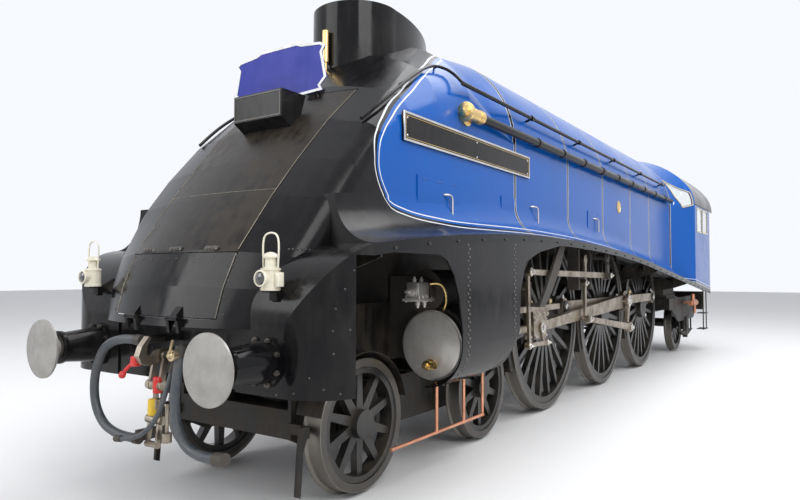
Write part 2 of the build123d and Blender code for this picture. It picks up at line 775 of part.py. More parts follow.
def wheel(radius, hub, hub_width, rim, spokes, spoke_width, spoke_face):
    """One wheel on the left rail, axle along Y at the origin."""
    back = back_to_back / 2
    face = back + tyre_width
    outline = (
        (radius - rim, back + 12),
        (radius - 70, back + 12),
        (radius - 64, back),
        (radius + 12, back),
        (radius + flange_depth, back + 10),
        (radius + flange_depth, back + 20),
        (radius + 4, back + flange_thickness),
        (radius, back + 50),
        (radius - 3, face - 4),
        (radius - 8, face),
        (radius - 64, face),
        (radius - 70, face - 12),
        (radius - rim, face - 12),
    )
    ring = revolve(Plane.XY * make_face(Polyline(*outline, close=True)), Axis.Y)
    middle = back + tyre_width / 2
    body = ring + rod_y(0, middle - hub_width / 2, middle + hub_width / 2, 0, hub)
    inner, outer = hub * 0.8, radius - rim + 6
    spoke = (
        (inner, -spoke_width * 0.62),
        (outer, -spoke_width * 0.42),
        (outer, spoke_width * 0.42),
        (inner, spoke_width * 0.62),
    )
    bar = side_plate(spoke, middle - spoke_face / 2, middle + spoke_face / 2)
    arms = [bar.rotate(Axis.Y, 360 / spokes * (step + 0.5)) for step in range(spokes)]
    return body + arms


def pair(left, journal):
    """Both wheels of an axle and the axle itself, as one forging."""
    back = back_to_back / 2
    return left + mirrored(left) + rod_y(0, -back - 20, back + 20, 0, journal)


def crank_point(angle, radius=crank_throw):
    return radius * cos(radians(angle)), radius * sin(radians(angle))


right_crank_angle = left_crank_angle - crank_spacing
inside_crank_angle = left_crank_angle + crank_spacing
crank_angles = ((1, left_crank_angle), (-1, right_crank_angle))
crank_face = 848
pin_fit = 0.08
open_pin_gap = 2


def build_wheels():
    plain = wheel(bogie_radius, 105, 170, 112, 10, 62, 60)
    axle = pair(plain, bogie_journal)
    for name, distance in zip(("bogie_front_wheelset", "bogie_rear_wheelset"), bogie_axles):
        save(name, Pos(-distance, 0, bogie_radius) * axle)
    trailing = wheel(trailing_radius, 125, 180, 118, 12, 66, 64)
    outside = trailing_box_outer - 12
    axle = pair(trailing, trailing_journal) + rod_y(0, -outside, outside, 0, trailing_journal)
    save("trailing_wheelset", Pos(-trailing_axle, 0, trailing_radius) * axle)
    driver = wheel(driver_radius, 185, 174, 138, 20, 60, 62)
    for number, distance in enumerate(driver_axles, 1):
        axle = pair(driver, driver_journal)
        for side, angle in crank_angles:
            x, z = crank_point(angle)
            back = back_to_back / 2
            boss = eye_bar((0, 0), (x, z), 185, 130, back + 6, crank_face)
            pin = rod_y(x, crank_face - 5, coupling_pin_end, z, crankpin_radius)
            pin += rod_y(x, coupling_rod_outer + 2, coupling_pin_end, z, crankpin_radius + 16)
            both = boss + pin
            axle += both if side == 1 else mirrored(both)
        if number == 2:
            x, z = crank_point(inside_crank_angle)
            web = eye_bar((0, 0), (x, z), 200, 150, 70, 190)
            axle += web + mirrored(web) + rod_y(x, -80, 80, z, 105)
        save(f"driver_{number}_wheelset", Pos(-distance, 0, driver_radius) * axle)


def build_coupling_rods():
    names = {1: "coupling_rods_left", -1: "coupling_rods_right"}
    for side, angle in crank_angles:
        x, z = crank_point(angle)
        pins = [(x - distance, z + driver_radius) for distance in driver_axles]
        rod = eye_bar(pins[0], pins[1], 105, 105, coupling_rod_inner, coupling_rod_outer)
        rod += eye_bar(pins[1], pins[2], 105, 105, coupling_rod_inner, coupling_rod_outer)
        for number, (px, pz) in enumerate(pins, 1):
            bore = crankpin_radius + (pin_fit if number == 2 else open_pin_gap)
            rod -= rod_y(px, coupling_rod_inner - 5, coupling_rod_outer + 5, pz, bore)
        save(names[side], rod if side == 1 else mirrored(rod))


# Motion outside the coupling rods, held to the frame
crosshead_z = driver_radius
slide_bar_front = -1560
slide_bar_back = -3300
big_end_stub = coupling_pin_end + 8
return_throw = 387
return_lag = 135.8
link_pivot = (-4100, 1474)
link_foot_radius = 444
link_rise = 290
eccentric_rod_length = 1888
lever_top = (-2200, 1600)
lever_foot_z = 870
union_length = 530
lifting_pin = (-4640, 1565)
lifting_shaft = (-4613, 1800)


def meet(centre_a, radius_a, centre_b, radius_b):
    """Where two circles in X and Z meet, on the left of the line from a to b."""
    dx, dz = centre_b[0] - centre_a[0], centre_b[1] - centre_a[1]
    reach = sqrt(dx * dx + dz * dz)
    along = (radius_a**2 - radius_b**2 + reach**2) / (2 * reach)
    off = sqrt(radius_a**2 - along**2)
    return (
        centre_a[0] + (along * dx - off * dz) / reach,
        centre_a[1] + (along * dz + off * dx) / reach,
    )


def motion(angle):
    """Crankpin, crosshead pin, return crank pin and link foot at a crank angle."""
    x, z = crank_point(angle)
    crank = (x - driver_axles[1], z + driver_radius)
    head_x = crank[0] + sqrt(connecting_rod_length**2 - (crank[1] - crosshead_z) ** 2)
    rx, rz = crank_point(angle + return_lag, return_throw)
    back = (crank[0] + rx, crank[1] + rz)
    foot = meet(link_pivot, link_foot_radius, back, eccentric_rod_length)
    return crank, (head_x, crosshead_z), back, foot


def build_motion():
    names = ("connecting_rods", "crossheads", "eccentric_rods", "expansion_links", "valve_levers")
    groups = {name: [] for name in names}
    for side, angle in crank_angles:
        crank, head, back, foot = motion(angle)
        arm_x = head[0] - 35

        def add(name, shape):
            groups[name].append(shape if side == 1 else mirrored(shape))

        rod = eye_bar(head, crank, 78, 150, connecting_rod_inner + 10, connecting_rod_outer)
        rod += rod_y(crank[0], big_end_stub, gear_inner - 45, crank[1], 68)
        arm = eye_bar(crank, back, 105, 62, gear_inner - 45, gear_inner - 5)
        rod += arm + rod_y(back[0], gear_inner - 6, gear_outer + 12, back[1], 38)
        add("connecting_rods", rod - rod_y(head[0], 900, 1200, head[1], 45))
        low, high = 972, 1086
        guide = block(head[0] - 150, head[0] + 190, low, low + 18, 900, 1150)
        guide += block(head[0] - 150, head[0] + 190, high - 18, high, 900, 1150)
        guide += block(head[0] - 210, head[0] + 210, low, high, 1130, 1189.7)
        guide += block(head[0] + 110, head[0] + 190, low, high, 940, 1140)
        guide += rod_x(head[0] + 150, -cylinder_back + 20, cylinder_y, crosshead_z, piston_rod_radius)
        guide += eye_bar((head[0], 1000), (arm_x, lever_foot_z - 10), 44, 34, high, high + 18)
        guide += rod_y(arm_x, high, gear_inner, lever_foot_z - 10, 18)
        add("crossheads", guide + rod_y(head[0], low, high + 12, head[1], 44.7))
        rod = eye_bar(back, foot, 75, 52, gear_inner, gear_outer)
        rod -= rod_y(back[0], 1000, 1300, back[1], 38.3)
        add("eccentric_rods", rod - rod_y(foot[0], 1000, 1300, foot[1], 26))
        lean = atan2(foot[0] - link_pivot[0], link_pivot[1] - foot[1])
        top = (link_pivot[0] - link_rise * sin(lean), link_pivot[1] + link_rise * cos(lean))
        link = eye_bar(foot, top, 42, 60, 1083, 1118) + rod_y(foot[0], 1083, gear_outer + 12, foot[1], 25.7)
        add("expansion_links", link + rod_y(link_pivot[0], 1060, 1124, link_pivot[1], 48))
        lever_foot = (arm_x + union_length, lever_foot_z)
        lever = eye_bar(lever_top, lever_foot, 44, 36, gear_inner + 25, gear_inner + 50)
        fall = (lever_top[1] - valve_height) / (lever_top[1] - lever_foot_z)
        spindle_x = lever_top[0] + (lever_foot[0] - lever_top[0]) * fall
        lever += rod_y(lever_top[0], gear_inner - 30, gear_inner + 52, lever_top[1], 20)
        lever += rod_y(lever_foot[0], gear_inner, gear_inner + 25, lever_foot[1], 18)
        lever += rod_y(spindle_x, valve_y - 20, gear_inner + 27, valve_height, 20)
        lever += rod_x(spindle_x, -1650, valve_y, valve_height, 24)
        union = eye_bar((arm_x, lever_foot_z - 10), lever_foot, 34, 34, gear_inner, gear_inner + 24.7)
        union -= rod_y(lever_foot[0], 1000, 1300, lever_foot[1], 18.3)
        lever += eye_bar(lever_top, lifting_pin, 44, 58, gear_inner + 51, gear_inner + 80)
        add("valve_levers", lever)
        add("valve_levers", union)
    for name in names:
        save(name, *groups[name])


arm_inner = 1216
arm_outer = 1244


def arm_curve(side):
    """Front or back edge of the curved arm between the slide bars and the running plate."""
    return (((-2300, 1251), (-2560, 1520), (-2960, 2000)), ((-2440, 1251), (-2800, 1560), (-3100, 2000)))[side]


def build_cylinders(deck):
    barrel = rod_x(-cylinder_back, -cylinder_front, cylinder_y, driver_radius, cylinder_radius)
    barrel += rod_x(-cylinder_front, -cylinder_front + 50, cylinder_y, driver_radius, cylinder_radius - 22)
    barrel += rod_x(-cylinder_back - 60, -cylinder_back, cylinder_y, driver_radius, 150)
    chest = rod_x(-1560, -620, valve_y, valve_height, valve_radius)
    chest += rod_x(-1640, -560, valve_y, valve_height, 110)
    saddle = block(-1340, -700, frame_inner + frame_plate, cylinder_y, 880, 1560)
    body = barrel + chest + saddle
    body -= rod_x(-cylinder_back - 80, -cylinder_back + 40, cylinder_y, driver_radius, piston_rod_radius + 0.3)
    save("cylinders", *both_sides(body))
    bar = block(slide_bar_back, slide_bar_front, 979, 1079, 1190, 1250)
    bar += block(slide_bar_front - 10, -cylinder_back - 60, 979, 1079, 1150, 1250)
    save("slide_bars", *both_sides(bar))
    root = frame_inner + frame_plate
    plate = block(-2440, -2400, root, 1100, 1250, 1500) - rod_x(-2500, -2300, 760, 1400, 70)
    plate += block(-2440, -2340, 1060, arm_outer, 1250, 1290)
    outer, inner = arm_curve(0), arm_curve(1)
    ends = [Line(outer[2], inner[2]), Line(inner[0], outer[0])]
    edges = [*ThreePointArc(*outer).edges(), *ends[0].edges(), *ThreePointArc(*inner).edges(), *ends[1].edges()]
    plate += extrude(side_plane(arm_outer) * make_face(Wire(edges)), arm_outer - arm_inner)
    plate += block(-3110, -2900, arm_inner - 60, arm_outer, 1900, 2000)
    hanger = block(-4340, -4300, 972, 1110, 1390, 2000) + block(-3900, -3860, 972, 1110, 1390, 2000)
    hanger += block(-4340, -3860, 1030, 1059, 1390, 1560)
    arm = eye_bar(lifting_shaft, lifting_pin, 78, 52, 1210, 1240)
    arm -= rod_y(lifting_shaft[0], 1200, 1250, lifting_shaft[1] - 78, 26)
    arm += rod_y(lifting_shaft[0], 1050, 1250, lifting_shaft[1], 34) + rod_y(lifting_pin[0], 1206, 1270, lifting_pin[1], 36)
    arm += block(lifting_shaft[0] - 36, lifting_shaft[0] + 36, 1050, 1090, lifting_shaft[1], 2000)
    deck_under = under_deck(nose_start_x, rear_end, sheet)
    pieces = []
    for piece in (plate, hanger, arm):
        pieces += both_sides((piece & deck_under) - deck)
    save("motion_brackets", *pieces)


valance_outline = (
    (603, 1715), (-154, 1715), (-260, 1675), (-360, 1570), (-445, 1385), (-490, 1160), (-490, 690),
    (-900, 690), (-1200, 780), (-1424, 930), (-1531, 1087), (-1557, 1439), (-1671, 1689), (-2001, 1789),
    (-2531, 1865), (-2700, 1875), (-2700, 2200), (603, 2200),
)
valance_curve = 337


def build_valances(deck):
    """Side sheets below the running plates, rolled under the cylinders."""
    centre_y, centre_z = half_width - valance_curve, 1035
    inner = valance_curve - sheet
    turn = sin(radians(45))
    big = ThreePointArc((half_width, centre_z), (centre_y + valance_curve * turn, centre_z - valance_curve * turn),
                        (centre_y, centre_z - valance_curve))
    small = ThreePointArc((centre_y, centre_z - inner), (centre_y + inner * turn, centre_z - inner * turn),
                          (half_width - sheet, centre_z))
    down = Line((centre_y, centre_z - valance_curve), (centre_y, centre_z - inner))
    up = Polyline((half_width - sheet, centre_z), (half_width - sheet, 2200), (half_width, 2200), (half_width, centre_z))
    wire = Wire([*big.edges(), *down.edges(), *small.edges(), *up.edges()])
    sheet_body = extrude(cross_plane(-2710) * make_face(wire), 2710 + nose_start_x)
    sheet_body &= opening(valance_outline)
    sheet_body &= under_deck(nose_start_x, rear_end, edge_depth - 5)
    sheet_body -= deck
    save("valances", *both_sides(largest(sheet_body)))


headboard_x = 70
headboard_low = 2985
headboard_high = 3400
number_box_x = 300


def build_upper_door_boards(nose):
    """Blank headboard and number box, carried by the upper door."""
    half = 505
    outline = (
        (-half, headboard_low + 95), (-half + 60, headboard_low + 40), (-half + 40, headboard_low),
        (-200, headboard_low - 12), (200, headboard_low - 12), (half - 40, headboard_low),
        (half - 60, headboard_low + 40), (half, headboard_low + 95), (half - 45, headboard_high - 120),
        (half - 10, headboard_high - 70), (half - 60, headboard_high - 40), (250, headboard_high - 20),
        (200, headboard_high), (-200, headboard_high), (-250, headboard_high - 20), (-half + 60, headboard_high - 40),
        (-half + 10, headboard_high - 70), (-half + 45, headboard_high - 120),
    )
    board = extrude(cross_plane(headboard_x) * make_face(Polyline(*outline, close=True)), 8)
    iron = side_plate(((headboard_x - 22, 2800), (headboard_x, 2800), (headboard_x, 3200), (headboard_x - 10, 3200),
                       (headboard_x - 22, 3100)), -30, 30)
    box = side_plate(((number_box_x - 260, 2980), (number_box_x + 8, 2980), (number_box_x + 8, 2770),
                      (number_box_x - 160, 2660)), -260, 260)
    save("headboard", largest(board + iron - nose - box))
    save("number_plate_box", largest(box - nose))


lamp_x = 1062
lamp_y = 935
lamp_base = 1478


def build_lamps(skirt):
    """Lamps, and the skirt with the irons that they stand on."""
    lamps = []
    for side in (-1, 1):
        y = side * lamp_y
        lamp = rod_z(lamp_x, y, lamp_base, lamp_base + 130, 56)
        lamp += rod_z(lamp_x, y, lamp_base + 130, lamp_base + 195, 36)
        lamp += rod_z(lamp_x, y, lamp_base + 195, lamp_base + 215, 46)
        lamp += rod_x(lamp_x, lamp_x + 88, y, lamp_base + 72, 48)
        lamp += block(lamp_x - 62, lamp_x - 40, y - 22, y + 22, lamp_base + 20, lamp_base + 110)
        for edge in (-1, 1):
            lamp += rod_z(lamp_x, y + edge * 60, lamp_base + 90, lamp_base + 285, 6)
            lamp += block(lamp_x - 6, lamp_x + 6, y + edge * 50, y + edge * 66, lamp_base + 90, lamp_base + 102)
        lamp += block(lamp_x - 5, lamp_x + 5, y - 66, y + 66, lamp_base + 280, lamp_base + 290)
        lamps.append(lamp)
        iron = block(lamp_x - 40, lamp_x + 40, y - 30, y + 30, lamp_base - 10, lamp_base)
        iron += block(900, lamp_x - 20, y - 30, y + 30, lamp_base - 60, lamp_base)
        skirt += iron - skirt_body(0)
    save("lamps", *lamps)
    save("front_skirt", skirt)


# hoses: routes in X, Y, Z; each bend takes its radius from its own runs
vacuum_hose_size = 60
steam_hose_size = 64
air_hose_size = 32
vacuum_route = ((1215, -150, 1140), (1235, -430, 1150), (1245, -590, 900), (1245, -570, 640), (1235, -380, 490),
                (1225, -130, 500))
steam_route = ((1175, 252, 1050), (1200, 240, 850), (1235, 300, 620), (1245, 480, 480), (1250, 690, 500))
air_route = ((1160, 150, 940), (1215, 165, 800), (1250, 120, 640), (1285, -20, 520), (1285, -190, 500))


def tube(route, size):
    """Round hose along straight runs joined by arcs that touch them."""
    radii = []
    for before, here, after in zip(route, route[1:], route[2:]):
        first, second = Vector(*here) - Vector(*before), Vector(*after) - Vector(*here)
        turn = radians(first.get_angle(second))
        radii.append(round(0.45 * min(first.length, second.length) / tan(turn / 2), 1))
    line = FilletPolyline(*route, radius=radii)
    start = Plane(origin=route[0], z_dir=Vector(*route[1]) - Vector(*route[0]))
    print("hose", size, "length", round(line.length), "bend radii", radii)
    return sweep(start * Circle(size / 2), line)


def stub(here, towards, length, radius):
    """Round stub that ends at a point and comes from the side away from another point."""
    plane = Plane(origin=here, z_dir=Vector(*here) - Vector(*towards))
    return extrude(plane * Circle(radius), length)


def build_hoses():
    save("vacuum_hose", tube(vacuum_route, vacuum_hose_size))
    save("steam_hose", tube(steam_route, steam_hose_size))
    save("air_hose", tube(air_route, air_hose_size))
    vacuum_pipe = stub(vacuum_route[0], vacuum_route[1], 62, 36) + rod_x(beam_face, 1215, -118, 1137, 27)
    steam_pipe = stub(steam_route[0], steam_route[1], 70, 38) + rod_x(beam_face, 1168, 256, 1100, 30)
    air_pipe = stub(air_route[0], air_route[1], 60, 21) + rod_x(beam_face, 1145, 146, 985, 15)
    dummy = stub(vacuum_route[-1], vacuum_route[-2], 46, 36) + block(beam_face, 1245, -100, -78, 485, 560)
    dummy += block(beam_face, 1060, -100, -78, 485, 900)
    steam_head = stub(steam_route[-1], steam_route[-2], 90, 40)
    air_head = stub(air_route[-1], air_route[-2], 60, 22)
    save("hose_fittings", vacuum_pipe, steam_pipe, air_pipe, dummy, steam_head, air_head)


drain_y = 1015
step_x = -11300


def build_underside():
    """Brake gear, drain pipes, steps and injectors."""
    gear = []
    for distance in driver_axles:
        x = -distance
        shoe = ring_band(x, driver_radius, driver_radius + 10, 75, 716, 800, -26, 2)
        top_x = x + driver_radius + 80
        hanger = eye_bar((top_x, 1190), (top_x - 14, 760), 30, 30, 655, 690)
        hanger += rod_y(top_x, frame_inner + frame_plate, 690, 1190, 24)
        hanger += rod_y(top_x - 14, 655, 745, 780, 22)
        gear += both_sides(shoe + hanger)
    save("brake_gear", *gear)
    pipes = []
    for x, riser_top in ((-700, 716), (-1151, 716), (-1500, 866)):
        pipes.append(rod_z(x, drain_y, 300, riser_top, 14))
    run = pipes[0] + pipes[1] + pipes[2] + rod_x(-1514, -60, drain_y, 312, 14)
    save("drain_pipes", *both_sides(run))
    step_y = half_width - 72
    hang = block(step_x - 190, step_x - 170, step_y, step_y + 20, 420, 1360)
    hang += block(step_x + 170, step_x + 190, step_y, step_y + 20, 420, 1360)
    for z in (430, 760):
        hang += block(step_x - 190, step_x + 190, step_y - 120, step_y + 45, z, z + 14)
    save("footsteps", *both_sides(hang & under_deck(nose_start_x, rear_end, sheet)))
    body = rod_x(-11000, -10500, 1180, 1000, 62) + rod_x(-10500, -10380, 1180, 1000, 36) + rod_x(-11130, -11000, 1180, 1000, 30)
    body += rod_z(-10700, 1180, 1000, 1180, 40) + rod_z(-10900, 1180, 780, 1000, 26)
    body += block(-10740, -10660, trailing_plate_outer, 1180, 980, 1030)
    save("injectors", *both_sides(body))


nameplate_low = (-2500, 2572)
nameplate_high = (-158, 2794)


def build_fittings(nose):
    plate = block(nameplate_low[0], nameplate_high[0], casing_half_width, casing_half_width + 18, nameplate_low[1], nameplate_high[1])
    save("nameplates", *both_sides(plate))
    casing = casing_solid()
    rail_y, rail_z = 1048, 3225
    rail = rod_x(-8800, -1083, rail_y, rail_z, 19)
    for x in range(-8600, -1100, 1500):
        rail += rod_x(x - 24, x + 24, rail_y, rail_z, 28)
        rail += Pos(x, rail_y, rail_z) * Rot(110, 0, 0) * Pos(0, 0, 45) * Cylinder(13, 90)
    save("handrails", *both_sides(rail - casing - nose))
    pipe = rod_x(-9150, -1300, casing_half_width + 55, 2964, 42)
    for x in range(-8600, -1400, 1500):
        pipe += block(x - 20, x + 20, casing_half_width - 20, casing_half_width + 55, 2944, 2984)
    save("ejector_pipe", pipe - casing - nose)


if __name__ == "__main__":
    nose = build_front()
    skirt = build_skirt(nose)
    deck = build_decks(nose)
    build_casing()
    build_cab_inside()
    build_chimney(nose)
    build_boiler()
    build_frames(deck)
    build_beam()
    build_bogie()
    build_trailing()
    build_wheels()
    build_coupling_rods()
    build_motion()
    build_cylinders(deck)
    build_valances(deck)
    build_upper_door_boards(nose)
    build_lamps(skirt)
    build_hoses()
    build_underside()
    build_fittings(nose)
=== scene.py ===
import bmesh
import bpy
import json
from math import cos, pi, radians, sin, sqrt
from mathutils import Matrix, Vector
from mathutils.bvhtree import BVHTree

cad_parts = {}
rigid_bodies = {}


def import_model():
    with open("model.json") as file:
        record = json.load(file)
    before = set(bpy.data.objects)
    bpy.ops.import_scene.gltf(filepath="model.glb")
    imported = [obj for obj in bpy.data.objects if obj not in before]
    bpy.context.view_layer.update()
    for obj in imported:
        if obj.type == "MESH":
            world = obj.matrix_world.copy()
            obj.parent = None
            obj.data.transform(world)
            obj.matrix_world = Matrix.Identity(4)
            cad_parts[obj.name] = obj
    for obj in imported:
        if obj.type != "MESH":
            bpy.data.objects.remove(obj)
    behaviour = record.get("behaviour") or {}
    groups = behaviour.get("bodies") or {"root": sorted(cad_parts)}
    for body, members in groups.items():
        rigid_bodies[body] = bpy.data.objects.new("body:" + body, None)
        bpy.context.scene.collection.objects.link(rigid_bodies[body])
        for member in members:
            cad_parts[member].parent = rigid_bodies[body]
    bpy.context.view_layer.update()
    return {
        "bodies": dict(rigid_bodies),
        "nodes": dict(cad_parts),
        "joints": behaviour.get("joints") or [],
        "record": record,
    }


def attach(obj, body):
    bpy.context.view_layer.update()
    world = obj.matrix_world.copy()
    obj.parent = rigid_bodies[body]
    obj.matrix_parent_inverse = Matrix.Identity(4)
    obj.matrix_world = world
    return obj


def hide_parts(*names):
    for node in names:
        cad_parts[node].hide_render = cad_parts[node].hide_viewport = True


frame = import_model()
nodes = frame["nodes"]
scene = bpy.context.scene

# Places are given in millimetres from the leading bogie axle and the rail head, as in the drawing
drawing = {"shiftX": 5358.5, "shiftZ": 28.0}


def at(x, y, z):
    return Vector(((x + drawing["shiftX"]) / 1000, y / 1000, (z + drawing["shiftZ"]) / 1000))


print("stage: camera")
camera = {"lens": 29.06, "sensor": 36, "clip": (0.05, 300), "place": (9.1418, 3.7103, 1.6041),
          "yaw": -145.7514, "pitch": 2.1475, "roll": 0.119}


def makeCamera():
    yaw, pitch, roll = (radians(camera[k]) for k in ("yaw", "pitch", "roll"))
    forward = Vector((cos(yaw) * cos(pitch), sin(yaw) * cos(pitch), sin(pitch)))
    right = forward.cross(Vector((0, 0, 1))).normalized()
    up = right.cross(forward)
    turnedRight = right * cos(roll) + up * sin(roll)
    turnedUp = up * cos(roll) - right * sin(roll)
    data = bpy.data.cameras.new("photoCamera")
    data.lens, data.sensor_width = camera["lens"], camera["sensor"]
    data.clip_start, data.clip_end = camera["clip"]
    obj = bpy.data.objects.new("photoCamera", data)
    scene.collection.objects.link(obj)
    matrix = Matrix((turnedRight, turnedUp, -forward)).transposed().to_4x4()
    matrix.translation = Vector(camera["place"])
    obj.matrix_world = matrix
    scene.camera = obj


makeCamera()
scene.view_settings.view_transform = "Standard"


def deselect():
    bpy.ops.object.select_all(action="DESELECT")


def activate(obj):
    deselect()
    obj.select_set(True)
    bpy.context.view_layer.objects.active = obj


# Curve without thickness through places, rounded or straight from one to the next
def curveThrough(name, places, resolution, straight=False):
    data = bpy.data.curves.new(name, "CURVE")
    data.dimensions, data.resolution_u = "3D", resolution
    spline = data.splines.new("POLY" if straight else "NURBS")
    spline.points.add(len(places) - 1)
    for point, place in zip(spline.points, places):
        point.co = (*place, 1)
    if not straight:
        spline.order_u, spline.use_endpoint_u = 3, True
    obj = bpy.data.objects.new(name, data)
    scene.collection.objects.link(obj)
    return obj


# Gives a curve its thickness, with the radius in metres, and makes it a mesh
def thickened(obj, radius, rounds):
    obj.data.bevel_depth, obj.data.bevel_resolution, obj.data.use_fill_caps = radius, rounds, True
    activate(obj)
    bpy.ops.object.convert(target="MESH")
    return obj


print("stage: hoses")
hoses = {
    "vacuumHose": {
        "node": "vacuum_hose", "diameter": 0.060, "length": 1.278, "far": "object",
        "route": ((1215, -150, 1140), (1235, -430, 1150), (1245, -590, 900), (1245, -570, 640), (1235, -380, 490),
                  (1225, -130, 500)),
    },
    "steamHose": {
        "node": "steam_hose", "diameter": 0.064, "length": 0.863, "far": "connector",
        "route": ((1175, 252, 1050), (1200, 240, 850), (1235, 300, 620), (1245, 480, 480), (1250, 690, 500)),
    },
    "airHose": {
        "node": "air_hose", "diameter": 0.032, "length": 0.669, "far": "connector",
        "route": ((1160, 150, 940), (1215, 165, 800), (1250, 120, 640), (1285, -20, 520), (1285, -190, 500)),
    },
}


def makeHose(name, facts):
    obj = curveThrough(name, [at(*place) for place in facts["route"]], 24)
    line = bpy.data.meshes.new_from_object(obj.evaluated_get(bpy.context.evaluated_depsgraph_get()))
    thickened(obj, facts["diameter"] / 2, 6)
    bpy.ops.object.shade_smooth_by_angle(angle=radians(50))
    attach(obj, "engine")
    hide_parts(facts["node"])
    return obj


hosePieces = [makeHose(name, facts) for name, facts in hoses.items()]

print("stage: material tools")


# Node group whose inputs and outputs are all numbers
def newGroup(name, inputs, outputs):
    group = bpy.data.node_groups.new(name, "ShaderNodeTree")
    for label, value in inputs.items():
        group.interface.new_socket(name=label, in_out="INPUT", socket_type="NodeSocketFloat").default_value = value
    for label in outputs:
        group.interface.new_socket(name=label, in_out="OUTPUT", socket_type="NodeSocketFloat")
    return group, group.nodes.new("NodeGroupInput"), group.nodes.new("NodeGroupOutput")


# Short way to place and join shader nodes
class Wires:
    def __init__(self, tree):
        self.tree = tree

    def add(self, kind, **settings):
        node = self.tree.nodes.new(kind)
        for key, value in settings.items():
            setattr(node, key, value)
        return node

    def join(self, source, target):
        self.tree.links.new(source, target)

    def feed(self, node, values):
        for key, value in values.items():
            if isinstance(value, bpy.types.NodeSocket):
                self.join(value, node.inputs[key])
            else:
                node.inputs[key].default_value = value
        return node

    def place(self):
        return self.add("ShaderNodeTexCoord").outputs["Object"]

    def split(self, vector):
        return self.feed(self.add("ShaderNodeSeparateXYZ"), {0: vector}).outputs

    def scaled(self, vector, scale):
        return self.feed(self.add("ShaderNodeMapping"), {"Vector": vector, "Scale": scale}).outputs[0]

    def math(self, kind, a, b=0.0, c=0.0):
        return self.feed(self.add("ShaderNodeMath", operation=kind), {0: a, 1: b, 2: c}).outputs[0]

    def mix(self, share, a, b):
        return self.feed(self.add("ShaderNodeMix", data_type="RGBA"), {0: share, 6: a, 7: b}).outputs[2]

    def noise(self, vector, scale, detail, rough):
        node = self.add("ShaderNodeTexNoise")
        return self.feed(node, {"Vector": vector, "Scale": scale, "Detail": detail, "Roughness": rough}).outputs["Fac"]

    def span(self, value, low, high, start=0.0, end=1.0):
        return self.feed(self.add("ShaderNodeMapRange"), {0: value, 1: low, 2: high, 3: start, 4: end}).outputs[0]

    # Smooth curve from an input value to an output value, both in metres
    def curve(self, value, points):
        xs, ys = [p[0] for p in points], [p[1] for p in points]
        low, high = min(ys), max(ys)
        node = self.add("ShaderNodeFloatCurve")
        line = node.mapping.curves[0]
        while len(line.points) < len(points):
            line.points.new(0.5, 0.5)
        for point, (x, y) in zip(line.points, sorted(points)):
            point.location = ((x - min(xs)) / (max(xs) - min(xs)), (y - low) / (high - low))
            point.handle_type = "AUTO_CLAMPED"
        node.mapping.update()
        self.join(self.span(value, min(xs), max(xs)), node.inputs["Value"])
        return self.span(node.outputs[0], 0.0, 1.0, low, high)


# Dust that settles in large soft patches and streaks, with fine grains in its height
def grimeGroup():
    group, start, end = newGroup("grime", {"Patch": 2.0, "Streak": 1.0}, ("Mask", "Height"))
    w = Wires(group)
    place = w.place()
    patches = w.noise(place, start.outputs["Patch"], 6.0, 0.6)
    streaks = w.noise(w.scaled(place, (1, 1, 0.25)), 14.0, 3.0, 0.5)
    both = w.math("MULTIPLY_ADD", w.math("SUBTRACT", streaks, 0.5), start.outputs["Streak"], patches)
    w.join(w.span(both, 0.38, 0.72), end.inputs["Mask"])
    w.join(w.math("MULTIPLY", w.noise(place, 90.0, 3.0, 0.6), both), end.inputs["Height"])
    return group


# Slow waves of hand-beaten sheet, seen only in what it reflects
def rippleGroup():
    group, start, end = newGroup("sheetRipple", {"Size": 1.6}, ("Height",))
    w = Wires(group)
    place = w.place()
    slow = w.noise(place, start.outputs["Size"], 1.5, 0.4)
    quick = w.noise(place, 34.0, 2.0, 0.5)
    w.join(w.math("MULTIPLY_ADD", quick, 0.02, slow), end.inputs["Height"])
    return group


grime, ripple = grimeGroup(), rippleGroup()


def newMaterial(name, **uniform):
    material = bpy.data.materials.new(name)
    material.use_nodes = True
    tree = material.node_tree
    shader = tree.nodes["Principled BSDF"]
    for key, value in uniform.items():
        shader.inputs[key.replace("_", " ")].default_value = value
    return material, Wires(tree), shader


def useGroup(w, group, **values):
    node = w.add("ShaderNodeGroup")
    node.node_tree = group
    return w.feed(node, values)


def finishSurface(w, shader, height, distance):
    bump = w.feed(w.add("ShaderNodeBump"), {"Height": height, "Distance": distance, "Strength": 1.0})
    w.join(bump.outputs[0], shader.inputs["Normal"])


# Painted sheet: colour under uneven dust, gloss that dulls with it, and slow waves
def paint(name, colour, dust, shine, amount, wave, patch=1.6, streak=0.6, **uniform):
    material, w, shader = newMaterial(name, **uniform)
    dirt = useGroup(w, grime, Patch=patch, Streak=streak)
    share = w.math("MULTIPLY", dirt.outputs["Mask"], amount)
    w.join(w.mix(share, (*colour, 1), (*dust, 1)), shader.inputs["Base Color"])
    w.join(w.span(dirt.outputs["Mask"], 0, 1, *shine), shader.inputs["Roughness"])
    finishSurface(w, shader, useGroup(w, ripple, Size=1.4).outputs["Height"], wave)
    return material


# Bare or cast metal with brushed scratches and dark oily stains
def metal(name, colour, stain, shine, amount=0.5, scratch=160.0, depth=0.0003, metallic=1.0):
    material, w, shader = newMaterial(name, Metallic=metallic)
    lines = w.noise(w.scaled(w.place(), (0.12, 1, 1)), scratch, 4.0, 0.6)
    dirt = useGroup(w, grime, Patch=7.0, Streak=0.25)
    share = w.math("MULTIPLY", dirt.outputs["Mask"], amount)
    w.join(w.mix(share, (*colour, 1), (*stain, 1)), shader.inputs["Base Color"])
    rough = w.math("MULTIPLY_ADD", lines, 0.12, w.span(dirt.outputs["Mask"], 0, 1, *shine))
    w.join(rough, shader.inputs["Roughness"])
    finishSurface(w, shader, w.math("ADD", lines, dirt.outputs["Height"]), depth)
    return material


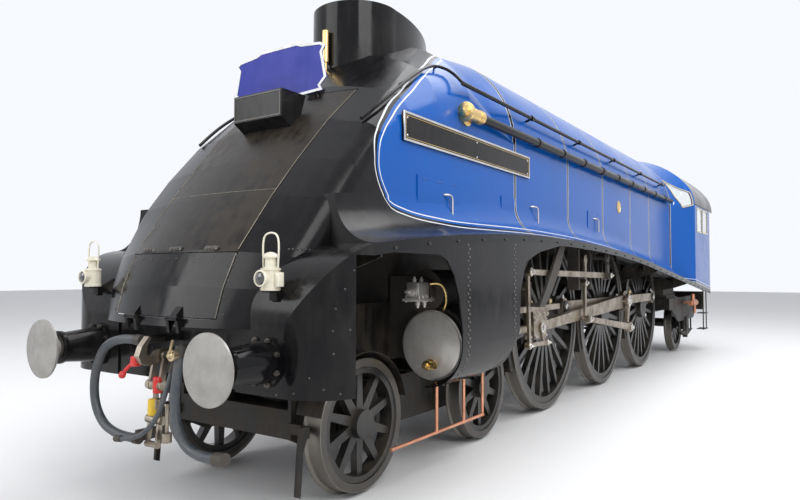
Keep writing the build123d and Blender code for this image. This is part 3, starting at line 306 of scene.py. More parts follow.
# The livery: blue behind a curved edge on the nose, above a line just over the running plate.
# Lengths are in millimetres; edgeX is the nose's edge by height, edgeZ the front part of the lower line by length.
livery = {
    "blue": (0.001, 0.09, 0.4, 1), "black": (0.004, 0.004, 0.005, 1), "white": (0.78, 0.80, 0.82, 1),
    "edgeX": ((2140, 80), (2205, 126), (2263, 156), (2369, 181), (2494, 167), (2605, 110), (2731, -1), (2887, -161),
              (3007, -322), (3234, -628), (3409, -938), (3607, -1288), (3850, -1900)),
    "edgeZ": ((200, 2205), (94, 2161), (28, 2069), (-53, 2025), (-127, 2011), (-293, 1984), (-538, 1966), (-900, 1952),
              (-1475, 1959), (-2033, 1967), (-2297, 1968)),
    "crest": (-2400, 1965), "curve": 43400, "slope": 0.0987, "steps": (-2900, -12401, -500),
    "lineWidth": 9, "lineGap": 40, "back": -11640, "far": 9.0, "dust": (0.12, 0.11, 0.1, 1),
    "bands": (-2180, -3700, -5070, -6470, -7660, -9290), "bandLine": (19, 26),
    "heart": 1.5, "forwards": 0.4, "across": 0.8, "turnedIn": -0.02, "insideBlack": (0.02, 0.02, 0.019, 1),
    "dustShare": 0.06, "shine": (0.15, 0.26), "wave": 0.005,
}


# How far the running plate has dropped at a distance behind its crest
def plateDrop(run):
    curve, bend = livery["curve"], livery["slope"] * livery["curve"]
    return run * run / (2 * curve) if run < bend else bend * bend / (2 * curve) + (run - bend) * livery["slope"]


# Lower border of the blue, from the nose to the cab's back
def lowerEdge():
    crestX, crestZ = livery["crest"]
    return list(livery["edgeZ"]) + [(x, crestZ - plateDrop(crestX - x)) for x in range(*livery["steps"])]


# Cosine of a curve's lean at each of its points, which turns offsets into distances
def slopes(points):
    result = []
    for i, point in enumerate(points):
        before, after = points[max(i - 1, 0)], points[min(i + 1, len(points) - 1)]
        lean = (after[1] - before[1]) / (after[0] - before[0])
        result.append((point[0], 1 / sqrt(1 + lean * lean)))
    return result


# Masks of the blue, its white lines and the boiler bands, by distance inside the livery's border
def liveryGroup():
    group, _, end = newGroup("livery", {}, ("Blue", "Line", "Outside"))
    w = Wires(group)
    parts = w.split(w.place())
    x = w.math("SUBTRACT", parts[0], drawing["shiftX"] / 1000)
    z = w.math("SUBTRACT", parts[2], drawing["shiftZ"] / 1000)
    metres = [(a / 1000, b / 1000) for a, b in livery["edgeX"]]
    ahead = w.math("MULTIPLY", w.math("SUBTRACT", w.curve(z, metres), x), w.curve(z, slopes(metres)))
    metres = sorted((a / 1000, b / 1000) for a, b in lowerEdge())
    above = w.math("SUBTRACT", z, w.curve(x, metres))
    inside = w.math("MINIMUM", w.math("MINIMUM", ahead, above), w.math("SUBTRACT", x, livery["back"] / 1000))
    width, gap = livery["lineWidth"] / 1000, livery["lineGap"] / 1000
    middle = w.math("SUBTRACT", inside, width + gap / 2)
    off = w.math("SUBTRACT", w.math("ABSOLUTE", middle), gap / 2)
    line = w.math("MULTIPLY", w.math("GREATER_THAN", off, 0.0), w.math("LESS_THAN", off, width))
    blue = w.math("GREATER_THAN", inside, width + gap / 2)
    near = livery["far"]
    for place in livery["bands"]:
        near = w.math("MINIMUM", near, w.math("ABSOLUTE", w.math("SUBTRACT", x, place / 1000)))
    low, high = (edge / 1000 for edge in livery["bandLine"])
    facing = w.split(w.add("ShaderNodeNewGeometry").outputs["Normal"])
    # The end of a sheet, which faces forwards or back, has no band
    near = w.math("ADD", near, w.math("GREATER_THAN", w.math("ABSOLUTE", facing[0]), livery["across"]))
    band = w.math("MULTIPLY", w.math("GREATER_THAN", near, low), w.math("LESS_THAN", near, high))
    w.join(w.math("MULTIPLY", blue, w.math("GREATER_THAN", near, low)), end.inputs["Blue"])
    w.join(w.math("MAXIMUM", line, w.math("MULTIPLY", band, blue)), end.inputs["Line"])
    # A face looks outwards when its normal points away from the middle of the engine, or forwards
    away = w.math("MULTIPLY", facing[1], parts[1])
    away = w.math("ADD", away, w.math("MULTIPLY", facing[2], w.math("SUBTRACT", z, livery["heart"])))
    away = w.math("MULTIPLY_ADD", facing[0], livery["forwards"], away)
    w.join(w.math("GREATER_THAN", away, livery["turnedIn"]), end.inputs["Outside"])
    return group


def liveryPaint():
    material, w, shader = newMaterial("liveryPaint", Specular_IOR_Level=0.18)
    marks = useGroup(w, liveryGroup())
    dirt = useGroup(w, grime, Patch=1.1, Streak=0.5).outputs["Mask"]
    body = w.mix(marks.outputs["Blue"], livery["black"], livery["blue"])
    body = w.mix(marks.outputs["Line"], body, livery["white"])
    body = w.mix(marks.outputs["Outside"], livery["insideBlack"], body)
    body = w.mix(w.math("MULTIPLY", dirt, livery["dustShare"]), body, livery["dust"])
    w.join(body, shader.inputs["Base Color"])
    w.join(w.span(dirt, 0, 1, *livery["shine"]), shader.inputs["Roughness"])
    finishSurface(w, shader, useGroup(w, ripple, Size=1.2).outputs["Height"], livery["wave"])
    return material


# Distances from the tread's radius in metres, and the colours and finish of a wheel
tyre = {
    "tread": (-0.012, -0.004), "deep": 0.068, "joint": 0.002, "dustShare": 0.45, "faceShare": 0.6,
    "steel": (0.2, 0.185, 0.165, 1), "gap": (0.008, 0.008, 0.008, 1), "face": (0.075, 0.066, 0.056, 1),
    "black": (0.012, 0.012, 0.012, 1), "dust": (0.09, 0.075, 0.055, 1), "shine": (0.28, 0.5), "grain": 0.001,
}


# Worn steel on a tyre's tread and flange, and a lighter tyre face with its joint to the wheel
def wheelGroup():
    inputs = {"CentreX": 0.0, "CentreZ": 0.5, "Radius": 0.5}
    group, start, end = newGroup("wheelWear", inputs, ("Tread", "Tyre", "Joint"))
    w = Wires(group)
    parts = w.split(w.place())
    x = w.math("SUBTRACT", parts[0], start.outputs["CentreX"])
    z = w.math("SUBTRACT", parts[2], start.outputs["CentreZ"])
    reach = w.math("SQRT", w.math("ADD", w.math("MULTIPLY", x, x), w.math("MULTIPLY", z, z)))
    out = w.math("SUBTRACT", reach, start.outputs["Radius"])
    w.join(w.span(out, *tyre["tread"]), end.inputs["Tread"])
    w.join(w.math("GREATER_THAN", out, -tyre["deep"]), end.inputs["Tyre"])
    fromJoint = w.math("ABSOLUTE", w.math("ADD", out, tyre["deep"]))
    w.join(w.math("LESS_THAN", fromJoint, tyre["joint"]), end.inputs["Joint"])
    return group


wheelWear = wheelGroup()


def wheelPaint(name, x, radius):
    material, w, shader = newMaterial(name)
    centre = at(x, 0, radius)
    marks = useGroup(w, wheelWear, CentreX=centre.x, CentreZ=centre.z, Radius=radius / 1000).outputs
    dirt = useGroup(w, grime, Patch=4.0, Streak=0.4).outputs
    face = w.mix(w.math("MULTIPLY", dirt["Mask"], tyre["dustShare"]), tyre["black"], tyre["dust"])
    face = w.mix(w.math("MULTIPLY", marks["Tyre"], tyre["faceShare"]), face, tyre["face"])
    face = w.mix(marks["Joint"], face, tyre["gap"])
    w.join(w.mix(marks["Tread"], face, tyre["steel"]), shader.inputs["Base Color"])
    w.join(marks["Tread"], shader.inputs["Metallic"])
    w.join(w.span(dirt["Mask"], 0, 1, *tyre["shine"]), shader.inputs["Roughness"])
    finishSurface(w, shader, w.math("SUBTRACT", dirt["Height"], marks["Joint"]), tyre["grain"])
    return material


def glassPaint():
    material, w, shader = newMaterial("windowGlass", Base_Color=(0.9, 0.95, 0.94, 1), Transmission_Weight=1.0, IOR=1.45)
    dirt = useGroup(w, grime, Patch=6.0, Streak=1.0)
    w.join(w.span(dirt.outputs["Mask"], 0, 1, 0.02, 0.12), shader.inputs["Roughness"])
    return material


print("stage: materials")
# Axle place and radius of each wheelset
wheels = {"bogie_front_wheelset": (0, 482.5), "bogie_rear_wheelset": (-1905, 482.5), "driver_1_wheelset": (-3581, 1016),
          "driver_2_wheelset": (-5791, 1016), "driver_3_wheelset": (-8001, 1016), "trailing_wheelset": (-10897, 559)}
dull, lessDull = {"Specular_IOR_Level": 0.2}, {"Specular_IOR_Level": 0.3}
coated, lensCoat = {"Coat_Weight": 0.4}, {"Coat_Weight": 1.0}
# Colour, dust, range of roughness, amount of dust, wave's height, size of patches and strength of streaks
paints = {
    "glossBlack": ((0.004, 0.004, 0.005), (0.045, 0.038, 0.032), (0.1, 0.3), 0.25, 0.006, 1.6, 0.6, dull),
    "doorBlack": ((0.012, 0.0105, 0.009), (0.055, 0.044, 0.033), (0.22, 0.42), 0.5, 0.003, 0.8, 0.9, dull),
    "frameBlack": ((0.012, 0.011, 0.01), (0.07, 0.055, 0.04), (0.42, 0.7), 0.6, 0.001, 3.5, 0.8, lessDull),
    "lampLens": ((0.03, 0.03, 0.032), (0.12, 0.12, 0.12), (0.04, 0.12), 0.3, 0.0003, 12.0, 0.3, lensCoat),
    "cream": ((0.78, 0.74, 0.6), (0.45, 0.38, 0.27), (0.18, 0.4), 0.35, 0.0006, 9.0, 0.8, coated),
    "rubber": ((0.045, 0.055, 0.065), (0.13, 0.12, 0.11), (0.35, 0.6), 0.45, 0.0006, 14.0, 0.3, {}),
    "floorWood": ((0.2, 0.13, 0.08), (0.1, 0.07, 0.05), (0.5, 0.75), 0.7, 0.002, 5.0, 1.0, {}),
    "seatLeather": ((0.06, 0.03, 0.02), (0.12, 0.07, 0.05), (0.35, 0.55), 0.6, 0.001, 12.0, 0.3, {}),
    "headboardBlue": ((0.01, 0.02, 0.3), (0.03, 0.04, 0.24), (0.25, 0.4), 0.4, 0.0006, 5.0, 0.5, dull),
    "wornBlack": ((0.02, 0.019, 0.018), (0.13, 0.11, 0.09), (0.2, 0.45), 0.7, 0.0005, 7.0, 1.0, {}),
    "wornBlue": ((0.004, 0.08, 0.34), (0.1, 0.16, 0.3), (0.2, 0.4), 0.5, 0.0005, 7.0, 1.0, {}),
    "whitePaint": ((0.78, 0.79, 0.8), (0.5, 0.47, 0.42), (0.25, 0.45), 0.4, 0.0004, 8.0, 0.8, {}),
    "windowWood": ((0.62, 0.53, 0.32), (0.34, 0.24, 0.12), (0.22, 0.42), 0.6, 0.0008, 10.0, 1.2, coated),
    "redPaint": ((0.6, 0.02, 0.015), (0.3, 0.06, 0.04), (0.3, 0.5), 0.4, 0.0006, 9.0, 0.5, {}),
    "yellowPaint": ((0.75, 0.5, 0.02), (0.4, 0.27, 0.08), (0.3, 0.5), 0.4, 0.0006, 9.0, 0.5, {}),
}
# Colour, stain, range of roughness, amount of stain, then the scratches' fineness and depth, and how metallic
metals = {
    "motionSteel": ((0.42, 0.37, 0.3), (0.12, 0.09, 0.06), (0.25, 0.5), 0.75),
    # Metal for the beads along the door seams, lighter than the black doors
    "lightSeamMetal": ((0.26, 0.23, 0.19), (0.1, 0.085, 0.07), (0.35, 0.55), 0.8, 90.0, 0.0003, 0.5),
    "groundSteel": ((0.6, 0.58, 0.55), (0.32, 0.28, 0.24), (0.25, 0.42), 0.5, 240.0, 0.0003, 0.55),
    "brightSteel": ((0.72, 0.7, 0.67), (0.4, 0.36, 0.31), (0.16, 0.32), 0.5, 240.0),
    "bufferSteel": ((0.36, 0.35, 0.33), (0.22, 0.2, 0.18), (0.35, 0.55), 0.6, 220.0, 0.0003, 0.6),
    "castIron": ((0.05, 0.046, 0.042), (0.1, 0.08, 0.06), (0.45, 0.7), 0.6, 60.0, 0.0008, 0.3),
    "brass": ((0.83, 0.6, 0.25), (0.4, 0.26, 0.1), (0.18, 0.4), 0.4),
    "oldBrass": ((0.55, 0.45, 0.28), (0.22, 0.17, 0.1), (0.3, 0.55), 0.7),
    "copper": ((0.75, 0.36, 0.22), (0.32, 0.16, 0.1), (0.25, 0.5), 0.5),
    # Lighter grey on rivet and bolt heads is a painted glint, standing in for light caught on their domes
    "rubbedPaint": ((0.12, 0.11, 0.1), (0.03, 0.028, 0.026), (0.25, 0.45), 0.6, 120.0, 0.0002, 0.6),
}
materials = {"livery": liveryPaint(), "glass": glassPaint()}
materials.update({name: paint(name, *facts, **uniform) for name, (*facts, uniform) in paints.items()})
materials.update({name: metal(name, *facts) for name, facts in metals.items()})

nodeFinish = {
    "livery": ("boiler_casing", "nose_casing", "running_plates", "cab_front", "cab_side_left", "cab_side_right"),
    "glossBlack": ("front_skirt", "valances", "cab_roof", "chimney", "buffer_beam", "buffer_stocks", "nose_door_lower",
                   "number_plate_box", "nameplates", "ejector_pipe", "handrails"),
    "doorBlack": ("nose_door_upper",),
    "motionSteel": ("coupling_rods_left", "coupling_rods_right", "connecting_rods", "crossheads", "eccentric_rods",
                    "expansion_links", "valve_levers", "slide_bars", "hook_and_coupling"),
    "bufferSteel": ("buffer_heads",),
    "castIron": ("boiler", "backhead", "cylinders", "motion_brackets", "hose_fittings"),
    "brass": ("whistle",),
    "copper": ("drain_pipes", "injectors"),
    "cream": ("lamps",),
    "floorWood": ("cab_floor",),
    "seatLeather": ("cab_seats",),
    "headboardBlue": ("headboard",),
    "glass": ("cab_windows",),
}


def dress(obj, material):
    if not obj.material_slots:
        obj.data.materials.append(material)
    for slot in obj.material_slots:
        slot.material = material


# A node that the table leaves out is frame black
def dressNodes():
    chosen = {name: materials[finish] for finish, names in nodeFinish.items() for name in names}
    chosen.update({name: wheelPaint(name + "_paint", *facts) for name, facts in wheels.items()})
    for name, obj in nodes.items():
        dress(obj, chosen.get(name, materials["frameBlack"]))
    for piece in hosePieces:
        dress(piece, materials["rubber"])


dressNodes()

print("stage: modelling tools")
# The photograph's frame of 800 by 500 points, as the camera sees it
photo = {"width": 800, "height": 500}
surfaces = {}
sides = ((1, "left"), (-1, "right"))
mirror = Vector((1, -1, 1))
front, back, up = Vector((1, 0, 0)), Vector((-1, 0, 0)), Vector((0, 0, 1))


# Step from a place, given in millimetres
def mm(x, y, z):
    return Vector((x / 1000, y / 1000, z / 1000))


def surface(name):
    if name not in surfaces:
        mesh = nodes[name].data
        faces = [tuple(face.vertices) for face in mesh.polygons]
        surfaces[name] = BVHTree.FromPolygons([vertex.co.copy() for vertex in mesh.vertices], faces)
    return surfaces[name]


# Nearest place where a line meets one of the CAD nodes: the node's name, the place, and its normal towards the start
def meet(start, direction, names, reach=40.0):
    best = None
    for name in names:
        place, normal, _, distance = surface(name).ray_cast(start, direction, reach)
        if place is not None and (best is None or distance < best[3]):
            best = (name, place, -normal if normal.dot(direction) > 0 else normal, distance)
    return best[:3] if best else None


def fromPixel(u, v, *names):
    focal = camera["lens"] / camera["sensor"] * photo["width"]
    direction = Vector(((u - photo["width"] / 2) / focal, (photo["height"] / 2 - v) / focal, -1))
    direction = scene.camera.matrix_world.to_3x3() @ direction
    return meet(Vector(camera["place"]), direction.normalized(), names)


def fromSide(x, z, side, *names):
    return meet(at(x, side * 3000, z), Vector((0, -side, 0)), names)


def fromFront(y, z, *names):
    return meet(at(3000, y, z), Vector((-1, 0, 0)), names)


def fromTop(x, y, *names):
    return meet(at(x, y, 6000), Vector((0, 0, -1)), names)


# The places that were found on the left, on both sides
def bothSides(founds):
    return [spot for found in founds if found for spot in (found, (found[0], found[1] * mirror, found[2] * mirror))]


def started(name):
    obj = bpy.context.object
    obj.name = name
    bpy.ops.object.transform_apply(location=True, rotation=True, scale=True)
    return obj


def editAll():
    bpy.ops.object.mode_set(mode="EDIT")
    bpy.ops.mesh.select_all(action="SELECT")


def closeEdit():
    bpy.ops.mesh.select_all(action="SELECT")
    bpy.ops.mesh.normals_make_consistent(inside=False)
    bpy.ops.object.mode_set(mode="OBJECT")


def applied(obj, modifier):
    activate(obj)
    bpy.ops.object.modifier_apply(modifier=modifier.name)
    return obj


# Gives a piece its finish and lets it ride on its body
def finished(obj, material, slot, body="engine", smooth=40):
    activate(obj)
    bpy.ops.object.shade_smooth_by_angle(angle=radians(smooth))
    dress(obj, materials[material])
    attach(obj, body)
    return obj


# The tools below take places as vectors in metres, and sizes in millimetres.
# Round piece, drawn out along its axis through stations of distance and radius
def turned(name, base, axis, stations, corners=24):
    deselect()
    axis, base = Vector(axis).normalized(), Vector(base)
    stations = [(along / 1000, radius / 1000) for along, radius in stations]
    last = stations[0]
    spin = axis.to_track_quat("Z", "Y").to_euler()
    bpy.ops.mesh.primitive_circle_add(vertices=corners, radius=last[1], fill_type="NGON", rotation=spin,
                                      location=base + axis * last[0])
    obj = started(name)
    editAll()
    for along, radius in stations[1:]:
        bpy.ops.mesh.extrude_region_move(TRANSFORM_OT_translate={"value": axis * (along - last[0])})
        bpy.ops.transform.resize(value=(radius / last[1],) * 3, center_override=base + axis * along)
        last = (along, radius)
    closeEdit()
    return obj


# Block with softened edges, and a sunk or raised panel on its top face where inset is given
def block(name, centre, size, edge=4, inset=0, rise=0, turn=(0, 0, 0)):
    deselect()
    bpy.ops.mesh.primitive_cube_add(size=1, location=centre, rotation=turn, scale=[side / 1000 for side in size])
    obj = started(name)
    if inset:
        bpy.ops.object.mode_set(mode="EDIT")
        bpy.ops.mesh.select_all(action="DESELECT")
        bpy.ops.mesh.select_mode(type="FACE")
        shape = bmesh.from_edit_mesh(obj.data)
        max(shape.faces, key=lambda face: face.calc_center_median().z).select_set(True)
        bmesh.update_edit_mesh(obj.data)
        bpy.ops.mesh.inset(thickness=inset / 1000, depth=rise / 1000)
        bpy.ops.object.mode_set(mode="OBJECT")
    bevel = obj.modifiers.new("edge", "BEVEL")
    bevel.width, bevel.segments = edge / 1000, 2
    return applied(obj, bevel)


# Bent bar or pipe through places
def pipe(name, places, radius, straight=False, rounds=3):
    obj = thickened(curveThrough(name, places, 8, straight), radius / 1000, rounds)
    editAll()
    bpy.ops.mesh.remove_doubles(threshold=0.00002)
    closeEdit()
    return obj


# Thin bead along the places that were found on a surface
def seam(name, founds, radius, lift=0):
    return pipe(name, [found[1] + found[2] * (lift / 1000) for found in founds if found], radius, True, 1)


# Flat ring along an outline: a disc moved to the outline, inset, emptied and thickened
def border(name, outline, normal, bar, depth):
    deselect()
    bpy.ops.mesh.primitive_circle_add(vertices=len(outline), radius=1, fill_type="NGON")
    obj = started(name)
    for vertex, place in zip(obj.data.vertices, outline):
        vertex.co = place
    editAll()
    bpy.ops.mesh.select_mode(type="FACE")
    bpy.ops.mesh.inset(thickness=bar / 1000, depth=0)
    bpy.ops.mesh.delete(type="FACE")
    bpy.ops.mesh.select_all(action="SELECT")
    bpy.ops.mesh.extrude_region_move(TRANSFORM_OT_translate={"value": Vector(normal).normalized() * (depth / 1000)})
    closeEdit()
    return obj


# Corners of an upright rectangle, with each edge moved outwards by grow
def corners(x, z, grow=0):
    (x0, x1), (z0, z1) = x, z
    return [(x0 - grow, z0 - grow), (x1 + grow, z0 - grow), (x1 + grow, z1 + grow), (x0 - grow, z1 + grow)]


def joined(name, parts):
    activate(parts[0])
    for part in parts[1:]:
        part.select_set(True)
    if len(parts) > 1:
        bpy.ops.object.join()
    parts[0].name = name
    return parts[0]


def together(name, parts, *finish):
    return finished(joined(name, parts), *finish)


bodyOfNode = {"nose_door_upper": "upper_door", "nose_door_lower": "lower_door"}


# Copies of one model that points along +Z, each with its own mesh, one joined piece for each body
def repeat(name, model, places, material, slot, smooth=50):
    byBody = {}
    for node, place, normal in places:
        copy = model.copy()
        copy.data = model.data.copy()
        copy.data.transform(Matrix.Translation(place) @ normal.to_track_quat("Z", "Y").to_matrix().to_4x4())
        scene.collection.objects.link(copy)
        byBody.setdefault(bodyOfNode.get(node, "engine"), []).append(copy)
    for body, copies in byBody.items():
        together(name + "_" + body, copies, material, slot, body, smooth)
    bpy.data.objects.remove(model)


# Hexagon head with the end of its stud
def hexHead(name, across, height, stud):
    stations = [(0, across / 2), (height + 4, across / 2), (height + 5, across * 0.42), (height + 5, stud),
                (height + 4 + stud, stud), (height + 5 + stud, stud * 0.6)]
    return turned(name, (0, 0, -0.004), (0, 0, 1), stations, 6)


def rivetHead(name, radius):
    stations = [(0, radius), (3.5, radius), (3 + radius * 0.45, radius * 0.72), (3 + radius * 0.62, radius * 0.3)]
    return turned(name, (0, 0, -0.003), (0, 0, 1), stations, 8)


print("stage: nose seams and rivets")
nose = {
    "levels": (("lower", 1300, 1705), ("upper", 1735, 3020)),
    # Height, and half the width of the doors' opening there
    "doorHalf": ((3010, 598), (2800, 590), (2400, 574), (2000, 558), (1740, 547), (1700, 544), (1500, 535),
                 (1320, 527)),
    "steps": 14, "inset": 7, "bead": 2.2, "rivet": 8, "seamZ": 2155, "seamSteps": (-550, 551, 50),
    # Pixels of the rivet pairs down the lower door's seam, of the skirt's rivets and of the row beside the lamp
    "doorRivets": ((232, 255.2), (236.6, 255.2), (227.3, 265.6), (233.3, 265.6), (222.6, 280.6), (228.6, 280.6),
                   (219.2, 297.4), (224.3, 297.4), (216.6, 314.8), (223, 314.8), (217.2, 329.9), (223.3, 329.9),
                   (223.9, 346.9)),
    "skirtRivets": ((364, 260.8), (354, 270.6), (345, 289.2), (335.7, 308.8), (332.8, 331.2), (350.2, 330),
                    (333.7, 354.1), (309.2, 378.3), (323.7, 390), (293.6, 393.5), (340.3, 394.2), (276.3, 395)),
    "lampRow": ((289, 249.3), (292.8, 249.3), (297.4, 249.4), (302, 249.5), (306, 249.6), (309.6, 249.8)),
    "splitBolts": ((143.6, 258.5), (168.3, 258.5), (197.1, 258), (213.2, 257.5)),
    "rows": (
        ("doorRivets", ("nose_casing", "nose_door_upper", "nose_door_lower", "front_skirt", "running_plates",
                        "valances", "boiler_casing")),
        ("skirtRivets", ("front_skirt",)), ("lampRow", ("nose_casing", "front_skirt", "running_plates")),
        ("splitBolts", ("nose_door_lower",))),
    "latches": (-330, 0, 330), "latchZ": 1742, "latch": ((0, 16), (12, 16), (20, 11), (23, 4)),
}


# Half the width of the doors' opening at a height
def doorHalf(z):
    pairs = nose["doorHalf"]
    for (za, a), (zb, b) in zip(pairs, pairs[1:]):
        if z >= zb or zb == pairs[-1][0]:
            return b + (a - b) * (z - zb) / (za - zb)


# Beads along the door seams, in a metal lighter than the black doors
def doorSeams():
    for side, where in sides:
        for label, low, high in nose["levels"]:
            heights = [low + (high - low) * step / nose["steps"] for step in range(nose["steps"] + 1)]
            founds = [fromFront(side * (doorHalf(z) - nose["inset"]), z, "nose_door_" + label) for z in heights]
            line = seam("door_seam_%s_%s" % (label, where), founds, nose["bead"], 0.8)
            finished(line, "lightSeamMetal", "gloss_black", label + "_door")
    founds = [fromFront(y, nose["seamZ"], "nose_door_upper") for y in range(*nose["seamSteps"])]
    finished(seam("door_seam_across", founds, nose["bead"], 0.4), "lightSeamMetal", "gloss_black", "upper_door")


def noseRivets():
    places = bothSides(fromPixel(u, v, *names) for key, names in nose["rows"] for u, v in nose[key])
    repeat("nose_rivets", rivetHead("rivet", nose["rivet"]), places, "wornBlack", "gloss_black")
    for across in nose["latches"]:
        _, place, normal = fromFront(across, nose["latchZ"], "nose_door_upper")
        parts = [turned("latch", place + mm(0, y, 0) - normal * 0.004, normal, nose["latch"], 12) for y in (-32, 0, 32)]
        parts.append(block("latchPlate", place + normal * 0.003, (12, 130, 30), turn=(0, -0.55, 0)))
        together("door_latch_%d" % (across + 400), parts, "wornBlack", "gloss_black", "upper_door")


doorSeams()
noseRivets()

print("stage: valance and running plate rivets")
valance = {
    "columns": (-575, -600, -1415, -1440), "low": 560, "high": 1960, "pitch": 62, "rivet": 10.5,
    "edge": (400, -11500, -410), "crestZ": 1946, "frontCurve": 25500, "drop": 47, "bolt": (21, 8, 6),
}


# Height of the running plate's edge
def deckEdge(x):
    run = livery["crest"][0] - x
    return valance["crestZ"] - (run * run / (2 * valance["frontCurve"]) if run < 0 else plateDrop(run))


def valanceRivets():
    places = []
    for k, x in enumerate(valance["columns"]):
        heights = range(valance["low"] + (k % 2) * valance["pitch"] // 2, valance["high"], valance["pitch"])
        places += bothSides(fromSide(x, z, 1, "valances") for z in heights)
    # The rivet and bolt heads are lighter grey than the black sheet: a painted glint
    repeat("valance_rivets", rivetHead("rivet", valance["rivet"]), places, "rubbedPaint", "gloss_black")
    places = bothSides(fromSide(x, deckEdge(x) - valance["drop"], 1, "running_plates") for x in range(*valance["edge"]))
    repeat("plate_edge_bolts", hexHead("bolt", *valance["bolt"]), places, "rubbedPaint", "gloss_black", 30)


valanceRivets()

print("stage: lamps")
lamp = {
    "x": 1062, "y": 935, "z": 1478, "body": 56, "wire": 6, "tubeRise": 72,
    "shell": ((0, 56), (6, 60), (12, 60), (16, 56), (118, 56), (120, 61), (130, 61), (134, 52), (139, 37), (142, 34),
              (190, 34), (192, 47), (199, 50), (204, 47), (216, 38), (225, 22), (229, 6)),
    "tube": ((30, 40), (70, 42), (74, 49), (86, 50), (90, 47), (90, 41), (82, 39)),
    "lens": ((80, 38.5), (84, 38), (90, 31), (94, 20), (96, 6)), "knob": ((0, 9), (6, 9), (8, 6), (14, 5)),
    "arch": ((58, 120), (64, 200), (66, 280), (52, 330), (0, 345), (-52, 330), (-66, 280), (-64, 200), (-58, 120)),
}


def makeLamp(side, label):
    def near(ahead, out, rise):
        return at(lamp["x"], side * lamp["y"], lamp["z"]) + mm(ahead, side * out, rise)

    body, rise = lamp["body"], lamp["tubeRise"]
    parts = [turned("shell", near(0, 0, 0), up, lamp["shell"], 32),
             turned("tube", near(0, 0, rise), front, lamp["tube"], 32),
             block("socket", near(0, body + 14, 66), (50, 30, 85), 3, 6, -4),
             pipe("bail", [near(0, *place) for place in lamp["arch"]], lamp["wire"]),
             pipe("hinge", [near(-20, body + 4, 20), near(-20, body + 4, 110)], 4, True)]
    obj = together("lamp_" + label, parts, "cream", "cream")
    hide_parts("lamps")
    finished(turned("lamp_lens_" + label, near(0, 0, rise), front, lamp["lens"], 32), "lampLens", "cream")
    knob = turned("lamp_knob_" + label, near(body * 0.8, (body - 2) / 2, 60), (0.86, side * 0.5, 0), lamp["knob"], 12)
    finished(knob, "frameBlack", "cream")


for side, label in sides:
    makeLamp(side, label)

print("stage: plates and headboard")
plates = {
    "name": {"x": (-2500, -158), "z": (2572, 2794), "y": 1058, "screw": 9, "rings": (
        ("nameplate_border_", 0, 16, 6, "brightSteel"), ("nameplate_line_", -26, 4, 3, "brass"))},
    "number": {"y": (-260, 260), "z": (2770, 2980), "x": 308},
    "headboard": {"x": 78, "outline": (
        (-505, 3080), (-445, 3025), (-465, 2985), (-200, 2973), (200, 2973), (465, 2985), (445, 3025), (505, 3080),
        (460, 3280), (495, 3330), (445, 3360), (250, 3380), (200, 3400), (-200, 3400), (-250, 3380), (-445, 3360),
        (-495, 3330), (-460, 3280))},
}


def platePieces():
    facts = plates["name"]
    (x0, x1), (z0, z1), y = facts["x"], facts["z"], facts["y"]
    for side, label in sides:
        for name, grow, bar, rise, material in facts["rings"]:
            outline = [at(x, side * y, z) for x, z in corners(facts["x"], facts["z"], grow)]
            finished(border(name + label, outline, (0, side, 0), bar, rise), material, "gloss_black")
    spots = [("nameplates", at(x, side * y, z), Vector((0, side, 0)))
             for side in (1, -1) for x in (x0 + 50, (x0 + x1) / 2, x1 - 50) for z in (z0 + 45, z1 - 45)]
    repeat("nameplate_screws", rivetHead("screw", facts["screw"]), spots, "brightSteel", "gloss_black")
    facts = plates["headboard"]
    outline = [at(facts["x"], y, z) for y, z in facts["outline"]]
    finished(border("headboard_border", outline, (1, 0, 0), 20, 5), "whitePaint", "gloss_blue", "upper_door")
    facts = plates["number"]
    outline = [at(facts["x"], y, z) for y, z in corners(facts["y"], facts["z"], -8)]
    finished(border("number_box_rim", outline, (1, 0, 0), 10, 4), "wornBlack", "gloss_black", "upper_door")


platePieces()

print("stage: casing details")
casing = {
    "skin": ("boiler_casing", "nose_casing"),
    # The hatch, then the two plain panels
    "panels": (((-1040, -366), (2122, 2345)), ((-2180, -1850), (2060, 2330)), ((-4850, -4420), (2080, 2400))),
    "thick": 8, "columns": 8, "rows": 5, "rivet": 7.5, "rivetRuns": (60, 300, 510),
    "handles": (((-758, 2224), (-856, 2225), (-856, 2040)), ((-2560, 2285), (-2690, 2285), (-2690, 2105)),
                ((-4640, 2310), (-4770, 2310), (-4770, 2140))),
    "oval": (-5847, 2569), "ovalPlate": ((0, 90), (8, 90), (11, 86), (11, 74), (8, 72), (8, 20)),
    "railPixels": ((466, 84), (450, 76), (436, 70.5), (428, 70.5), (419, 74.5), (404, 86), (385, 104), (362, 121)),
    "railStart": (-1100, 1048, 3225), "posts": (2, 5), "postReach": 0.4,
}


# Thin plate that follows the casing's side
def sidePlate(name, x, z, side):
    deselect()
    bpy.ops.mesh.primitive_grid_add(x_subdivisions=casing["columns"], y_subdivisions=casing["rows"], size=1)
    obj = started(name)
    for vertex in obj.data.vertices:
        across, rise = vertex.co.x + 0.5, vertex.co.y + 0.5
        vertex.co = fromSide(x[0] + (x[1] - x[0]) * across, z[0] + (z[1] - z[0]) * rise, side, *casing["skin"])[1]
    editAll()
    bpy.ops.mesh.extrude_region_move(TRANSFORM_OT_translate={"value": mm(0, side * casing["thick"], 0)})
    closeEdit()
    return obj


